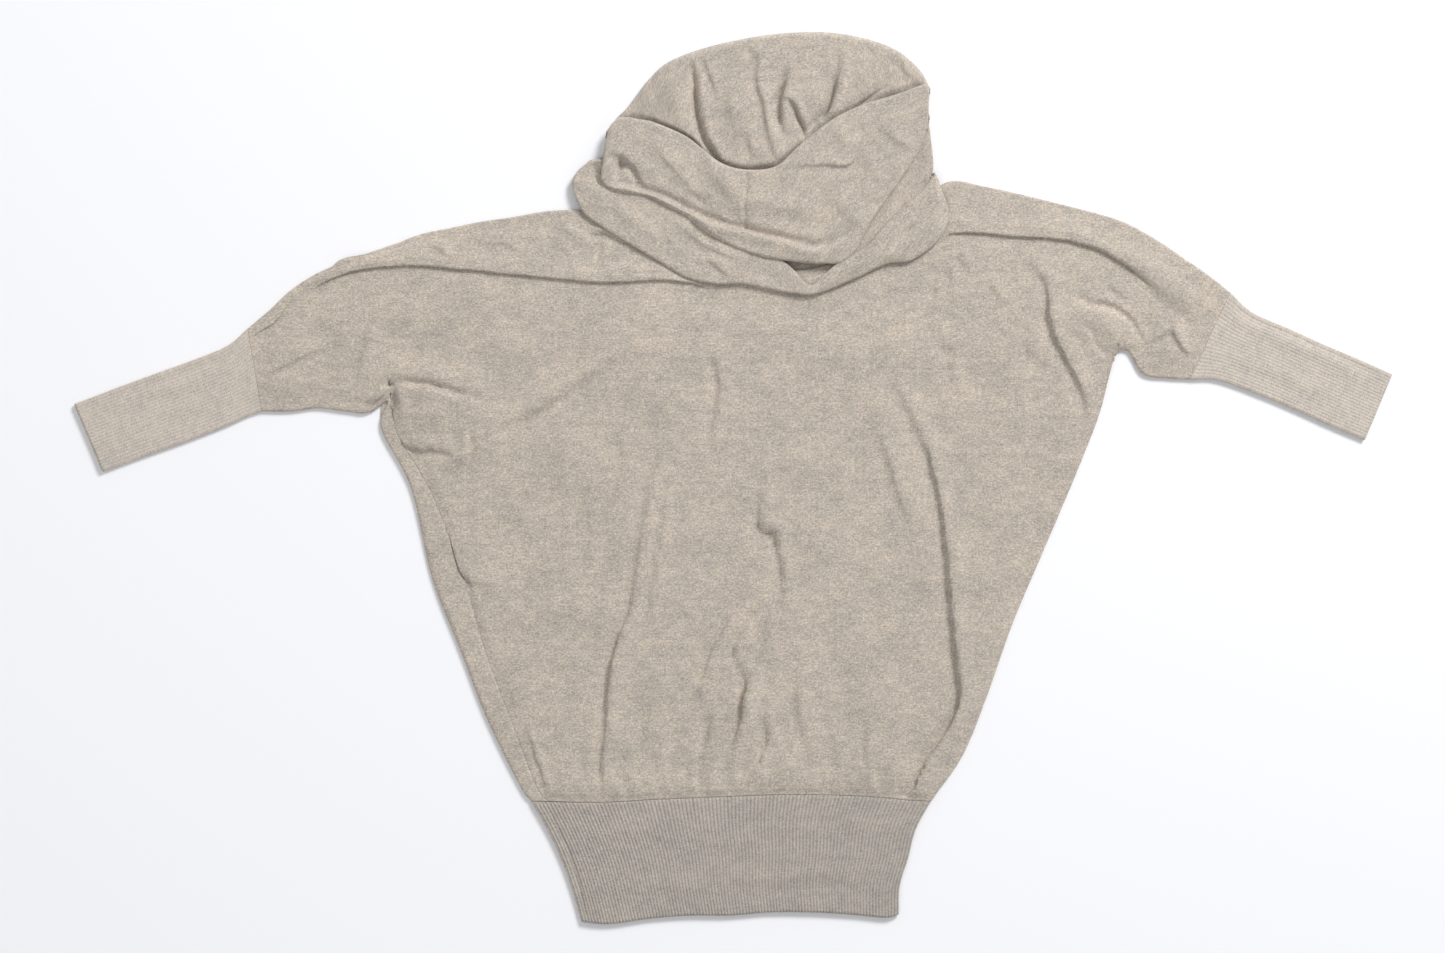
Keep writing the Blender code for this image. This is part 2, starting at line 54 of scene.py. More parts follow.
# Lines across the body from its top edge down, going from the left cuff to the right one: where
# each meets the top edge, the shoulder pleat, and the lower edge of the front and of the back
STATIONS = (
    Station((-454, 141), (-452, 129), (-441, 63), (-441, 63)),
    Station((-434, 158), (-428, 148), (-413, 63), (-413, 63)),
    Station((-415, 176), (-408, 170), (-389, 66), (-389, 66)),
    Station((-394, 190), (-391, 182), (-363, 63), (-363, 63)),
    Station((-373, 200), (-370, 190), (-340, 62), (-340, 62)),
    Station((-349, 209), (-347, 196), (-320, 76), (-323, 72)),
    Station((-321, 218), (-319, 199), (-314, 42), (-329, 47)),
    Station((-293, 229), (-293, 199), (-282, -13), (-301, -9)),
    Station((-265, 235), (-265, 197), (-252, -92), (-281, -94)),
    Station((-236, 241), (-235, 195), (-231, -162), (-254, -163)),
    Station((-208, 245), (-204, 191), (-208, -224), (-230, -225)),
    Station((-180, 250), (-172, 188), (-183, -289), (-199, -288)),
    Station((-157, 252), (-142, 185), (-172, -303), (-188, -303)),
    Station((-131, 249), (-103, 184), (-124, -304), (-124, -304)),
    Station((-94, 224), (-63, 186), (-67, -301), (-67, -301)),
    Station((-39, 202), (-18, 182), (-15, -299), (-15, -299)),
    Station((27, 193), (31, 177), (38, -297), (38, -297)),
    Station((93, 202), (93, 180), (93, -297), (93, -297)),
    Station((144, 226), (147, 203), (135, -299), (135, -299)),
    Station((182, 262), (187, 230), (168, -302), (168, -302)),
    Station((205, 279), (215, 231), (187, -303), (187, -303)),
    Station((238, 274), (243, 229), (217, -260), (217, -260)),
    Station((266, 268), (271, 227), (240, -204), (240, -204)),
    Station((295, 261), (299, 225), (264, -136), (264, -136)),
    Station((323, 254), (328, 220), (295, -63), (295, -63)),
    Station((346, 248), (351, 211), (325, 8), (325, 8)),
    Station((370, 240), (375, 198), (347, 66), (347, 66)),
    Station((389, 230), (393, 187), (355, 110), (355, 110)),
    Station((407, 219), (410, 176), (371, 120), (371, 120)),
    Station((426, 206), (426, 165), (386, 98), (386, 98)),
    Station((445, 193), (441, 156), (410, 94), (410, 94)),
    Station((468, 175), (455, 147), (430, 93), (430, 93)),
)
LAST = len(STATIONS) - 1
NECK_FROM, NECK_TO = 12, 20  # the stations from the neckline down to the hem rib
CORNERS = (NECK_FROM, NECK_TO)
WRAP_FROM, WRAP_TO = 3.5, 12  # where the back wraps over the left side
BACK_NECK = (  # the back's own top edge, along the neckline
    (-157, 252), (-131, 251), (-94, 246), (-39, 240), (27, 238),
    (93, 241), (144, 251), (182, 265), (205, 279),
)


def smooth(rows, at, corners=()):
    """The smooth line through a table's rows, read at row numbers with a fraction."""
    rows = np.array(rows, float)
    ends = np.vstack([2 * rows[0] - rows[1], rows, 2 * rows[-1] - rows[-2]])
    at = np.asarray(at, float)
    cell = np.clip(at.astype(int), 0, len(rows) - 2)
    t = (at - cell)[..., None]
    before, start, end, after = (ends[cell + k] for k in range(4))
    before = np.where(np.isin(cell, corners)[..., None], 2 * start - end, before)
    after = np.where(np.isin(cell + 1, corners)[..., None], 2 * end - start, after)
    cubic = 3 * (start - end) + after - before
    square = 2 * before - 5 * start + 4 * end - after
    return start + 0.5 * t * (end - before + t * (square + t * cubic))


def column(table, name):
    return [getattr(row, name) for row in table]


def between(start, end, t):
    return start + (end - start) * t


def ease(low, high, value):
    """0 below low, 1 above high, and smooth between them."""
    t = np.clip((value - low) / (high - low), 0, 1)
    return t * t * (3 - 2 * t)


def with_height(points, height):
    height = np.broadcast_to(height, points.shape[:-1])
    return np.concatenate([points, height[..., None]], axis=-1)


def rolled(q, radius):
    """A face that rolls round an edge, at a distance q over it from its outermost line.

    Gives how far in from the edge it is, and how far below the top. Negative is underneath.
    """
    angle = np.clip(q / radius, -pi / 2, pi / 2)
    inward = radius * (1 - np.cos(angle)) + np.maximum(np.abs(q) - radius * pi / 2, 0)
    return inward, radius * (1 - np.sin(angle))


def edge_inward(edge, towards):
    """Steps of 1 mm in from an edge, along the lines that lead towards other points."""
    along = np.gradient(edge, axis=0)
    square_on = np.stack([-along[:, 1], along[:, 0]], 1)
    square_on /= np.linalg.norm(square_on, axis=1)[:, None]
    line = towards - edge
    line /= np.linalg.norm(line, axis=1)[:, None]
    slant = np.abs((square_on * line).sum(1))
    return line / np.maximum(slant, 0.6)[:, None]


def knit_sheet(name, points, cloth, material):
    """A sheet of knit: a flat grid whose corners move to points, then a wall under its face.

    points are columns by rows, in the tables' millimetres, and cloth is where each lies in the
    knitted piece. Seen on its face, the columns go rightward and the rows downward.
    """
    columns, rows = points.shape[:2]
    build = bmesh.new()
    bmesh.ops.create_grid(build, x_segments=columns - 1, y_segments=rows - 1, size=1)
    mesh = bpy.data.meshes.new(name)
    build.to_mesh(mesh)
    flat = np.empty(len(mesh.vertices) * 3, np.float32)
    mesh.vertices.foreach_get("co", flat)
    across = np.rint((flat[0::3] + 1) / 2 * (columns - 1)).astype(int)
    down = np.rint((1 - flat[1::3]) / 2 * (rows - 1)).astype(int)
    placed = (points[across, down] - OUTLINE_MIDDLE) * MM
    mesh.vertices.foreach_set("co", placed.astype(np.float32).ravel())
    corner = np.empty(len(mesh.loops), np.int32)
    mesh.loops.foreach_get("vertex_index", corner)
    spread = (cloth[across, down] * MM)[corner]
    mesh.uv_layers.new(name="knit").uv.foreach_set("vector", spread.astype(np.float32).ravel())
    build.clear()
    build.from_mesh(mesh)
    bmesh.ops.remove_doubles(build, verts=build.verts, dist=1e-6)
    build.to_mesh(mesh)
    build.free()
    mesh.materials.append(material)
    mesh.shade_smooth()
    made = bpy.data.objects.new(name, mesh)
    bpy.context.scene.collection.objects.link(made)
    solid = made.modifiers.new("wall", "SOLIDIFY")
    solid.thickness = KNIT * MM
    solid.offset = -1
    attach(made, "root")
    return made


class Wire:
    """One output of a shader's node, which can stand in sums; each sum adds its Math node."""

    def __init__(self, tree, socket=None):
        self.tree = tree
        self.socket = socket

    def node(self, kind, settings=(), inputs=(), output=0):
        """A new node: its settings first, then the values or wires of its sockets."""
        made = self.tree.nodes.new("ShaderNode" + kind)
        for name, value in dict(settings).items():
            if name == "stops":
                for stop, (place, colour) in zip(made.color_ramp.elements, value):
                    stop.position, stop.color = place, (*colour, 1)
                for place, colour in value[2:]:
                    made.color_ramp.elements.new(place).color = (*colour, 1)
            else:
                setattr(made, name, value)
        for name, value in dict(inputs).items():
            if isinstance(value, Wire):
                self.tree.links.new(value.socket, made.inputs[name])
            else:
                made.inputs[name].default_value = value
        return Wire(self.tree, made.outputs[output])

    def maths(self, operation, *others):
        return self.node("Math", {"operation": operation}, enumerate((self, *others)))

    def __add__(self, other):
        return self.maths("ADD", other)

    def __sub__(self, other):
        return self.maths("SUBTRACT", other)

    def __rsub__(self, other):
        return self.node("Math", {"operation": "SUBTRACT"}, {0: other, 1: self})

    def __mul__(self, other):
        return self.maths("MULTIPLY", other)

    __radd__ = __add__
    __rmul__ = __mul__


def knit_yarn(name, dark, middle, light, wale, course, depth, rib=0.0):
    """Heathered yarn, knitted: streaks of its blended fibres along the rows, over the stitches.

    wale is the width of a stitch and course its height in millimetres, and depth is the height
    of the stitches. Where it is ribbed, rib is how much painted shade darkens the valleys.
    """
    material = bpy.data.materials.new(name)
    material.use_nodes = True
    shader = material.node_tree.nodes["Principled BSDF"]
    start = Wire(material.node_tree)
    place = start.node("UVMap", {"uv_map": "knit"})

    def blotches(scale, detail=2.0, roughness=0.6, offset=0.0):
        """Noise with bumps of that size in millimetres along and across the rows."""
        sized = place.node(
            "VectorMath", {"operation": "MULTIPLY_ADD"},
            {0: place, 1: (1000 / scale[0], 1000 / scale[1], 1.0), 2: (offset, offset, 0.0)},
        )
        return place.node(
            "TexNoise", {"noise_dimensions": "2D"},
            {"Vector": sized, "Scale": 1.0, "Detail": detail, "Roughness": roughness},
        )

    streaks = blotches((3.4, 1.7), 1.0)
    flecks = blotches((1.5, 1.2), 1.0, 0.5, 31.0)
    patches = blotches((13.0, 6.0), 2.0, 0.5, 53.0)
    clouds = blotches((48.0, 30.0), 2.0, 0.5, 77.0)
    fluff = blotches((0.35, 0.35), 2.0, 0.7, 12.0)
    blend = (streaks - 0.5) * 0.7 + (flecks - 0.5) * 0.85 + 0.5
    blend = blend + (patches - 0.5) * 0.42 + (clouds - 0.5) * 0.3
    across = place.node("SeparateXYZ", (), {0: place})
    # Painted shade: the colour darkens in the valleys between the ribs, where shade falls
    if rib:
        ridge = (across * (pi / (RIB_WIDTH * MM))).maths("SINE").maths("ABSOLUTE")
        blend = blend - (1 - ridge) * rib
    shade = place.node(
        "ValToRGB", {"stops": ((0.0, dark), (1.0, light), (0.5, middle))}, {"Fac": blend},
    )

    # Each stitch is a V of two legs, whose slant shifts the rows
    down = place.node("SeparateXYZ", (), {0: place}, 1)
    leg = ((across * (1000 / wale)).maths("FRACT") - 0.5).maths("ABSOLUTE")
    slanted = down * (1000 / course) + leg * 1.3
    stitch = (slanted * (2 * pi)).maths("SINE") * 0.5 + 0.5
    leg_form = (leg * (2 * pi)).maths("SINE")
    relief = stitch * leg_form * 0.9 + fluff * 0.4 + flecks * 0.3
    bump = place.node(
        "Bump", (), {"Strength": 0.7, "Distance": depth * MM, "Height": relief},
    )
    tree = material.node_tree
    tree.links.new(shade.socket, shader.inputs["Base Color"])
    tree.links.new(bump.socket, shader.inputs["Normal"])
    shader.inputs["Roughness"].default_value = 0.95
    shader.inputs["Specular IOR Level"].default_value = 0.2
    shader.inputs["Sheen Weight"].default_value = 0.25
    shader.inputs["Sheen Roughness"].default_value = 0.6
    return material


RIB_WIDTH = 3.6  # of one rib and its valley, in the knitted piece
BODY_KNIT = {
    "dark": (0.27, 0.25, 0.235), "middle": (0.52, 0.46, 0.395), "light": (0.84, 0.715, 0.57),
    "wale": 1.5, "course": 1.15, "depth": 0.35,
}
body_yarn = knit_yarn("body_knit", **BODY_KNIT)

# Columns of the grid in each station, with most of them by the armpits and in the middle
station_steps = 5 * [7] + 4 * [13] + 3 * [8] + 8 * [14] + 4 * [9] + 5 * [13] + 2 * [8]
at = np.concatenate(
    [station + np.arange(steps) / steps for station, steps in enumerate(station_steps)] + [[LAST]]
)
END_COLUMN = 0.02  # a narrow one at each cuff, so that the sleeve's face stays flat up to its end
at = np.sort(np.append(at, (END_COLUMN, LAST - END_COLUMN)))
outline = smooth(column(STATIONS, "back"), at, CORNERS)
side_seam = smooth(column(STATIONS, "front"), at, CORNERS)
# 0 where the lower edge is sewn to the hem rib, and 1 where it turns round a side
side = 1 - ease(NECK_FROM, NECK_FROM + 0.15, at) * (1 - ease(NECK_TO, NECK_TO + 0.3, at))
# How far the back wraps over on to the front, across and along its own path round the side
on_wrap = (at > WRAP_FROM) & (at < WRAP_TO + 0.15)
wrapped = np.where(on_wrap, np.linalg.norm(outline - side_seam, axis=1), 0)
wrap_path = np.where(
    wrapped < TURN,
    TURN * np.arccos(np.clip(1 - wrapped / TURN, -1, 1)),
    wrapped + (pi / 2 - 1) * TURN,
)

BACK_ROWS = 70
ARC_ROWS = 6
WRAP_ROWS = 10
WRAP_DIP = 0.2  # how far both pieces dip at the seam where the back wraps over
DIP_REACH = 1.5
back_top = column(STATIONS, "top")
back_top[NECK_FROM:NECK_TO + 1] = BACK_NECK
# Shifted along the top edge, so that no lines cross above the notches under the sleeves
back_top[5:7] = (-358, 206), (-311, 222)
back_top[26] = (358, 244)
back_top = smooth(back_top, at)
from_top = edge_inward(back_top, outline)
from_outline = edge_inward(outline, back_top)
rows = []
for q in np.linspace(-0.1, -TURN * pi / 2, ARC_ROWS):
    inward, below = rolled(q, TURN)
    rows.append(with_height(back_top + from_top * inward, FRONT_FACE - below))
for t in np.linspace(0, 1, BACK_ROWS)[1:-1]:
    line = between(back_top + from_top * TURN, outline + from_outline * TURN, t)
    rows.append(with_height(line, 0.0))
for q in np.linspace(-TURN * pi / 2, 0, ARC_ROWS):
    inward, below = rolled(q, TURN)
    rows.append(with_height(outline + from_outline * inward, (FRONT_FACE - below) * side))
for t in np.linspace(0, 1, WRAP_ROWS)[1:]:
    q = wrap_path * t
    inward, below = rolled(q, TURN)
    seam_dip = WRAP_DIP * np.exp(-((wrap_path - q) / DIP_REACH)) * ease(2, 5, wrapped)
    line = between(outline, side_seam, (inward / np.maximum(wrapped, 0.01))[:, None])
    rows.append(with_height(line, (FRONT_FACE - below - seam_dip) * side))
back_points = np.stack(rows, 1)
back = knit_sheet("back", back_points[:, ::-1], back_points[:, ::-1, :2], body_yarn)
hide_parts("back_panel")

# Front: the same cut in the same knit, laid face up on the back and sewn to it along the
# sides. A loose fold of it lies along each shoulder, and the rest is creased as it was put down.

Crease = namedtuple("Crease", "line width height lean push")

# A crease is a ridge, or a trough where its height is negative. A lean of 1 lifts the cloth on
# the left of its line and sinks it on the right, and -1 the other way round. Its push, in
# widths, is how far the lifted side laps over the sunk one.
FRONT_CREASES = (
    # the chest
    Crease(((140, 112), (168, 60), (188, 17), (201, -48), (208, -119), (215, -189), (216, -218),
            (201, -250), (179, -276), (163, -306)), 8, 5.7, 0.9, 0.75),
    Crease(((219, -196), (216, -222), (200, -246), (186, -268), (172, -290), (154, -318)),
           6.5, 5.4, 0.95, 0.9),
    Crease(((-60, 50), (-72, 8), (-81, -39), (-89, -91), (-95, -133), (-107, -157), (-112, -194),
            (-117, -246), (-124, -293)), 8, 4.4, 0.9, 0.5),
    Crease(((-92, -112), (-103, -152), (-113, -196), (-118, -250), (-123, -302)), 6, 3.2, 0.9, 0.5),
    Crease(((-56, 22), (-67, -58), (-77, -123), (-86, -160)), 6, 2.7, 0.8, 0.4),
    Crease(((-75, -200), (-79, -230), (-77, -262)), 5, 2.4, 0.8, 0.4),
    Crease(((-128, -15), (-133, -60), (-133, -100)), 6, 1.3, 0.8, 0.3),
    Crease(((-100, 60), (-103, 25), (-103, -12)), 6, 1.3, 0.8, 0.3),
    Crease(((-25, 130), (-14, 107), (-11, 78), (-16, 55), (-20, 12)), 6, 3.0, 0.9, 0.5),
    Crease(((33, 20), (29, -20), (27, -44), (41, -50),
            (47, -72), (49, -105), (45, -138)), 6, 4.4, 0.9, 0.7),
    Crease(((17, -100), (-6, -142), (-20, -171), (-37, -218)), 6, 4.6, 0.9, 0.75),
    Crease(((31, -115), (8, -152), (1, -172)), 5, 3.6, 0.9, 0.7),
    Crease(((43, -125), (22, -180), (8, -236), (-6, -272)), 5.5, 4.4, 0.9, 0.75),
    Crease(((3, -160), (15, -192), (15, -227), (4, -246)), 5, 5.0, 0.9, 0.7),
    Crease(((16, -168), (20, -195), (17, -220)), 4, 3.0, 0.8, 0.4),
    Crease(((26, -215), (36, -241), (29, -262), (12, -288)), 5, 4.9, 0.9, 0.7),
    Crease(((64, -170), (62, -213), (72, -256)), 6, 3.0, 0.8, 0.4),
    Crease(((-4, -205), (-20, -236), (-31, -288)), 5, 3.4, 0.8, 0.5),
    Crease(((128, 62), (144, 27), (158, -20), (174, -50)), 8, 2.5, 0.8, 0.4),
    Crease(((188, 142), (204, 125), (218, 112)), 6, 2.0, 0.8, 0.4),
    Crease(((202, 122), (208, 98), (216, 66)), 6, 1.7, 0.8, 0.3),
    Crease(((214, 217), (217, 203), (226, 190)), 5, 2.1, 0.8, 0.4),
    Crease(((205, 200), (206, 184), (205, 162)), 6, 1.7, 0.8, 0.3),
    Crease(((241, 188), (246, 178), (254, 164)), 5, 2.1, 0.8, 0.4),
    Crease(((272, 134), (280, 122), (289, 107)), 5, 2.1, 0.8, 0.4),
    Crease(((101, 176), (107, 164), (115, 150)), 7, 1.6, 0.8, 0.3),
    Crease(((298, -14), (297, -30), (292, -52)), 6, 1.8, -0.6, 0.2),
    # the left sleeve and armpit
    Crease(((-338, 88), (-300, 84), (-255, 75), (-205, 63)), 19, 2.6, 0.0, 0.0),
    Crease(((-326, 76), (-309, 85), (-288, 84), (-265, 78), (-222, 68)), 4.6, 2.8, -0.95, 0.6),
    Crease(((-329, 79), (-312, 90), (-289, 89), (-264, 83), (-230, 74)), 3.2, -5.0, 0.0, 0.0),
    Crease(((-321, 90), (-318, 79), (-317, 64)), 3.4, -9.0, 0.0, 0.0),
    Crease(((-311, 84), (-308, 72), (-310, 58)), 5.0, 3.6, 0.0, 0.0),
    Crease(((-328, 88), (-327, 78), (-330, 70)), 3.6, 4.0, 0.0, 0.0),
    Crease(((-249, 58), (-248, 33), (-254, 10), (-276, 6)), 5, 3.2, -0.9, 0.5),
    Crease(((-300, 66), (-280, 60), (-264, 44)), 15, 2.0, 0.0, 0.0),
    Crease(((-322, 42), (-305, 30), (-271, 27), (-256, 16)), 5, 2.8, 0.9, 0.5),
    Crease(((-240, 50), (-208, 53), (-187, 62), (-160, 79), (-124, 104), (-92, 124)), 8, 3.6, 0.9, 0.5),
    Crease(((-339, 146), (-346, 111), (-353, 80)), 7, 2.4, 0.85, 0.4),
    Crease(((-455, 122), (-448, 131), (-431, 146), (-404, 161)), 6, 3.4, 0.9, 0.7),
    Crease(((-449, 108), (-434, 99), (-412, 110), (-387, 121), (-357, 135)), 6, 2.0, 0.85, 0.4),
    Crease(((-392, 137), (-372, 143), (-348, 154)), 7, 1.4, 0.8, 0.3),
    Crease(((-348, 72), (-333, 74), (-319, 86)), 4, 2.8, 0.9, 0.6),
    Crease(((-299, 0), (-291, -18), (-276, -46)), 4.5, 3.0, 0.9, 0.8),
    Crease(((-285, -44), (-267, -64), (-250, -93), (-220, -103)), 6, 2.1, 0.9, 0.5),
    Crease(((-288, 223), (-272, 214), (-256, 205)), 5, 2.0, 0.8, 0.4),
    Crease(((-226, 226), (-208, 218), (-192, 206)), 6, 2.2, 0.8, 0.4),
    Crease(((-246, 232), (-228, 220), (-214, 205)), 5, 1.3, 0.8, 0.3),
    Crease(((-156, 240), (-140, 228), (-124, 224)), 5, 2.4, -0.8, 0.5),
    Crease(((-140, 224), (-127, 231), (-113, 229), (-98, 221)), 4, 3.2, 0.9, 0.5),
    Crease(((-123, 224), (-120, 212), (-124, 198)), 5, 1.8, 0.8, 0.4),
    Crease(((-168, 222), (-152, 208), (-146, 194)), 6, 1.4, 0.7, 0.3),
    # the right sleeve and armpit
    Crease(((273, 214), (284, 199), (296, 186), (299, 165), (302, 142), (315, 114), (328, 88),
            (334, 66), (330, 30)), 8.5, 4.6, 0.85, 0.75),
    Crease(((306, 168), (330, 156), (350, 146), (366, 134), (374, 118)), 16, 3.6, 0.0, 0.0),
    Crease(((308, 180), (334, 166), (352, 161), (367, 154), (379, 141), (386, 122)), 3.4, -4.2, 0.0, 0.0),
    Crease(((322, 148), (334, 137), (340, 121), (355, 110)), 5, 3.2, -0.8, 0.5),
    Crease(((426, 158), (415, 142), (422, 124), (434, 112)), 5.5, 2.8, 0.85, 0.5),
    Crease(((417, 143), (400, 133), (382, 123)), 6, 1.8, -0.8, 0.4),
    Crease(((352, 184), (362, 176), (372, 166)), 6, 1.4, 0.8, 0.3),
)


def uneven(points, size, seed):
    """Soft bumps of about that size, between -1 and 1."""
    places = points.reshape(-1, 2) / size
    return np.array([noise.noise((x, y, seed)) for x, y in places]).reshape(points.shape[:-1])


def creased(creases, points):
    """How far the creases move the cloth along x, y and z at each (x, y) point."""
    total = np.zeros((*points.shape[:-1], 3))
    wavered = points + 1.7 * np.stack([uneven(points, 17, 51.0), uneven(points, 17, 52.0)], -1)
    for crease in creases:
        steps = 4 * (len(crease.line) - 1)
        line = smooth(crease.line, np.linspace(0, len(crease.line) - 1, steps + 1))
        reach = 3 * crease.width
        low, high = line.min(0) - reach, line.max(0) + reach
        inside = np.all((points > low) & (points < high), axis=-1)
        near = wavered[inside]
        distance = np.full(len(near), np.inf)
        turned, along = np.zeros(len(near)), np.zeros(len(near))
        leftward = np.zeros((len(near), 2))
        for step in range(steps):
            run = line[step + 1] - line[step]
            t = np.clip((near - line[step]) @ run / (run @ run), 0, 1)
            gap = near - line[step] - t[:, None] * run
            here = np.hypot(gap[:, 0], gap[:, 1])
            closer = here < distance
            distance = np.where(closer, here, distance)
            turned = np.where(closer, np.sign(run[0] * gap[:, 1] - run[1] * gap[:, 0]), turned)
            along = np.where(closer, (step + t) / steps, along)
            leftward[closer] = np.array([-run[1], run[0]]) / np.hypot(*run)
        across = turned * distance / crease.width
        fade = np.sin(pi * along) ** 0.85
        form = 1 - abs(crease.lean) + crease.lean * 1.65 * across
        total[inside, 2] += crease.height * fade * np.exp(-(across ** 2)) * form
        lifted = np.sign(crease.lean)
        lap = crease.push * crease.width * fade * np.exp(-(((across - 0.6 * lifted) / 0.6) ** 2))
        total[inside, :2] -= lifted * lap[:, None] * leftward
    return total


def rucked(points, apart, long, seed):
    """Small irregular ridges that distance apart and about that long, running down the cloth."""
    bumps = uneven(points * (long / apart, 1.0), long, seed)
    return 1 - 2.2 * np.sqrt(bumps ** 2 + 0.004)


SHOULDER_ROWS = 18
CHEST_ROWS = 92
EDGE_ROWS = 8
EDGE_REACH = 8.0  # how far in from its lower edge the front starts to turn down
TUCK = 13.0  # how far the shoulder fold is tucked under itself
LIP_TOP = FRONT_FACE + 3.8
LIP_RADIUS = 1.75
PAST_LIP = 3.0  # where the chest comes out from under the lip
SLOPE = 14.0  # how far the cloth slopes down to the chest where it isn't tucked
ROLL_SPREAD = 17.0
HEM_GATHERS = 46
GATHER_FOOT = -300  # where the gathers start, at the hem seam
HEM_SINK = 0.12  # how far the front sinks where it is sewn to the hem rib
DEEPEST = -0.9  # where the front's troughs touch the back

front_top = smooth(column(STATIONS, "top"), at)
pleat = smooth(column(STATIONS, "pleat"), at)
down = side_seam - pleat
down /= np.linalg.norm(down, axis=1)[:, None]
waver = np.array([
    1.6 * noise.noise((x / 38, 3.7, 0)) + 0.5 * noise.noise((x / 13, 9.1, 0)) for x in pleat[:, 0]
])
pleat = pleat + down * waver[:, None]


def stretch(fade_in, fade_out):
    """1 along a stretch of stations, with its ends fading between two stations each."""
    return np.interp(at, (*fade_in, *fade_out), (0, 1, 1, 0))


# Where the shoulder folds are tucked under, and where their roll stands up. Both go in under
# the collar.
LEFT_END = (NECK_FROM + 2.2, NECK_FROM + 3.1)
RIGHT_START = (NECK_TO - 0.6, NECK_TO + 0.1)
tucked = np.maximum(stretch((2.6, 4.2), LEFT_END), stretch(RIGHT_START, (24.6, 27.5)))
roll = np.maximum(stretch((1.6, 4.2), LEFT_END), stretch(RIGHT_START, (LAST - 3, LAST - 0.5)))
roll = roll * (LIP_TOP - FRONT_FACE)
roll *= 1 + 0.2 * stretch((23, 25), (28, 30))

from_top = edge_inward(front_top, pleat)
rows = []
for q in np.linspace(0.1, TURN * pi / 2, ARC_ROWS):
    inward, below = rolled(q, TURN)
    rows.append(with_height(front_top + from_top * inward, FRONT_FACE - below))
lip = pleat - down * LIP_RADIUS
shoulder_start = front_top + from_top * TURN
for t in np.linspace(0, 1, SHOULDER_ROWS)[1:]:
    line = between(shoulder_start, lip, t)
    away = (1 - t) * np.linalg.norm(lip - shoulder_start, axis=1)
    rise = roll * np.exp(-((away / ROLL_SPREAD) ** 2)) * ease(0, 0.3, t)
    rows.append(with_height(line, FRONT_FACE + rise))

# Past the lip the cloth goes round and back under itself where it is tucked, and otherwise
# slopes down to the chest
QUARTERS = (0.25, 0.5, 0.75, 1)
lip_angles = np.linspace(pi / 2, -pi / 2, 8)[1:]
tuck_path = [(LIP_RADIUS * (np.cos(a) - 1), LIP_RADIUS * (1 + np.sin(a))) for a in lip_angles]
tuck_path += [(-LIP_RADIUS - (TUCK - LIP_RADIUS) * t, 0.0) for t in QUARTERS]
tuck_path += [(-TUCK, -0.3)]
tuck_path += [(between(-TUCK, PAST_LIP, t), -0.3) for t in QUARTERS]
for step, (out, height) in enumerate(tuck_path):
    t = (step + 1) / len(tuck_path)
    folded_out, folded_up = out, height + LIP_TOP - 2 * LIP_RADIUS
    sloped_out = between(-LIP_RADIUS, SLOPE, t)
    sloped_up = FRONT_FACE + roll * 0.5 * (1 + np.cos(pi * t))
    out = between(sloped_out, folded_out, tucked)
    height = between(sloped_up, folded_up, tucked)
    rows.append(with_height(pleat + down * out[:, None], height))

chest_start = pleat + down * between(SLOPE, PAST_LIP, tucked)[:, None]
to_pleat = edge_inward(side_seam, pleat)
seam_in = rolled(wrap_path, TURN)[0]


def past_seam(reach):
    """The front's points at that distance in from its lower edge, where it turns down to it."""
    q = wrap_path + SEAM_GAP + reach
    inward, below = rolled(q, TURN)
    along = between(SEAM_GAP + reach, inward - seam_in, side)
    dip = np.exp(-reach / DIP_REACH)
    sunk = between(HEM_SINK * dip, below + WRAP_DIP * dip * ease(2, 5, wrapped), side)
    return with_height(side_seam + to_pleat * along[:, None], FRONT_FACE - sunk)


flat_end = past_seam(EDGE_REACH)[:, :2]
for t in np.linspace(0, 1, CHEST_ROWS)[1:]:
    rows.append(with_height(between(chest_start, flat_end, t), FRONT_FACE))
for reach in np.linspace(EDGE_REACH, 0, EDGE_ROWS)[1:]:
    rows.append(past_seam(reach))
front_points = np.stack(rows, 1)

row = np.arange(front_points.shape[1])
first_chest_row = ARC_ROWS + SHOULDER_ROWS - 1 + len(tuck_path)
chest_down = np.clip((row - first_chest_row) / CHEST_ROWS, 0, 1)[None]
flat_place = front_points[..., :2].copy()
edge_gap = np.linalg.norm(flat_place - side_seam[:, None], axis=-1)
start_gap = np.linalg.norm(flat_place - chest_start[:, None], axis=-1)
on_chest = (chest_down > 0) * ease(0, 18, start_gap)
# The cloth puffs up softly on the chest, apart from what the collar lies on, and on the shoulders
under_collar = ease(150, 175, flat_place[..., 1]) * (np.abs(flat_place[..., 0]) < 190)
puff = 1.5 + 1.6 * uneven(flat_place, 85, 1.0) + 1.3 * uneven(flat_place, 34, 2.0)
puff *= on_chest * ease(2, 30, edge_gap) * (1 - under_collar)
on_shoulder = (row >= ARC_ROWS) & (row < ARC_ROWS + SHOULDER_ROWS - 4)
top_gap = np.linalg.norm(flat_place - front_top[:, None], axis=-1)
puff += on_shoulder[None] * ease(2, 16, top_gap) * (0.6 + 0.9 * uneven(flat_place, 40, 5.0))
ends_held = (ease(0, 1.0, at) * ease(0, 1.0, LAST - at))[:, None]  # where the cuffs are sewn on
puff *= ends_held
fine = 0.42 * uneven(flat_place, 13, 3.0) + 0.14 * uneven(flat_place, 6.5, 4.0)
# It is rucked up most in the lower middle of the chest
from_ruck = flat_place - np.array([5.0, -215.0])
ruck_share = 0.25 + 1.25 * np.exp(-((from_ruck[..., 0] / 95) ** 2) - (from_ruck[..., 1] / 85) ** 2)
fine += ruck_share * (rucked(flat_place, 17, 44, 6.0) + 0.5 * rucked(flat_place, 9, 20, 8.0))

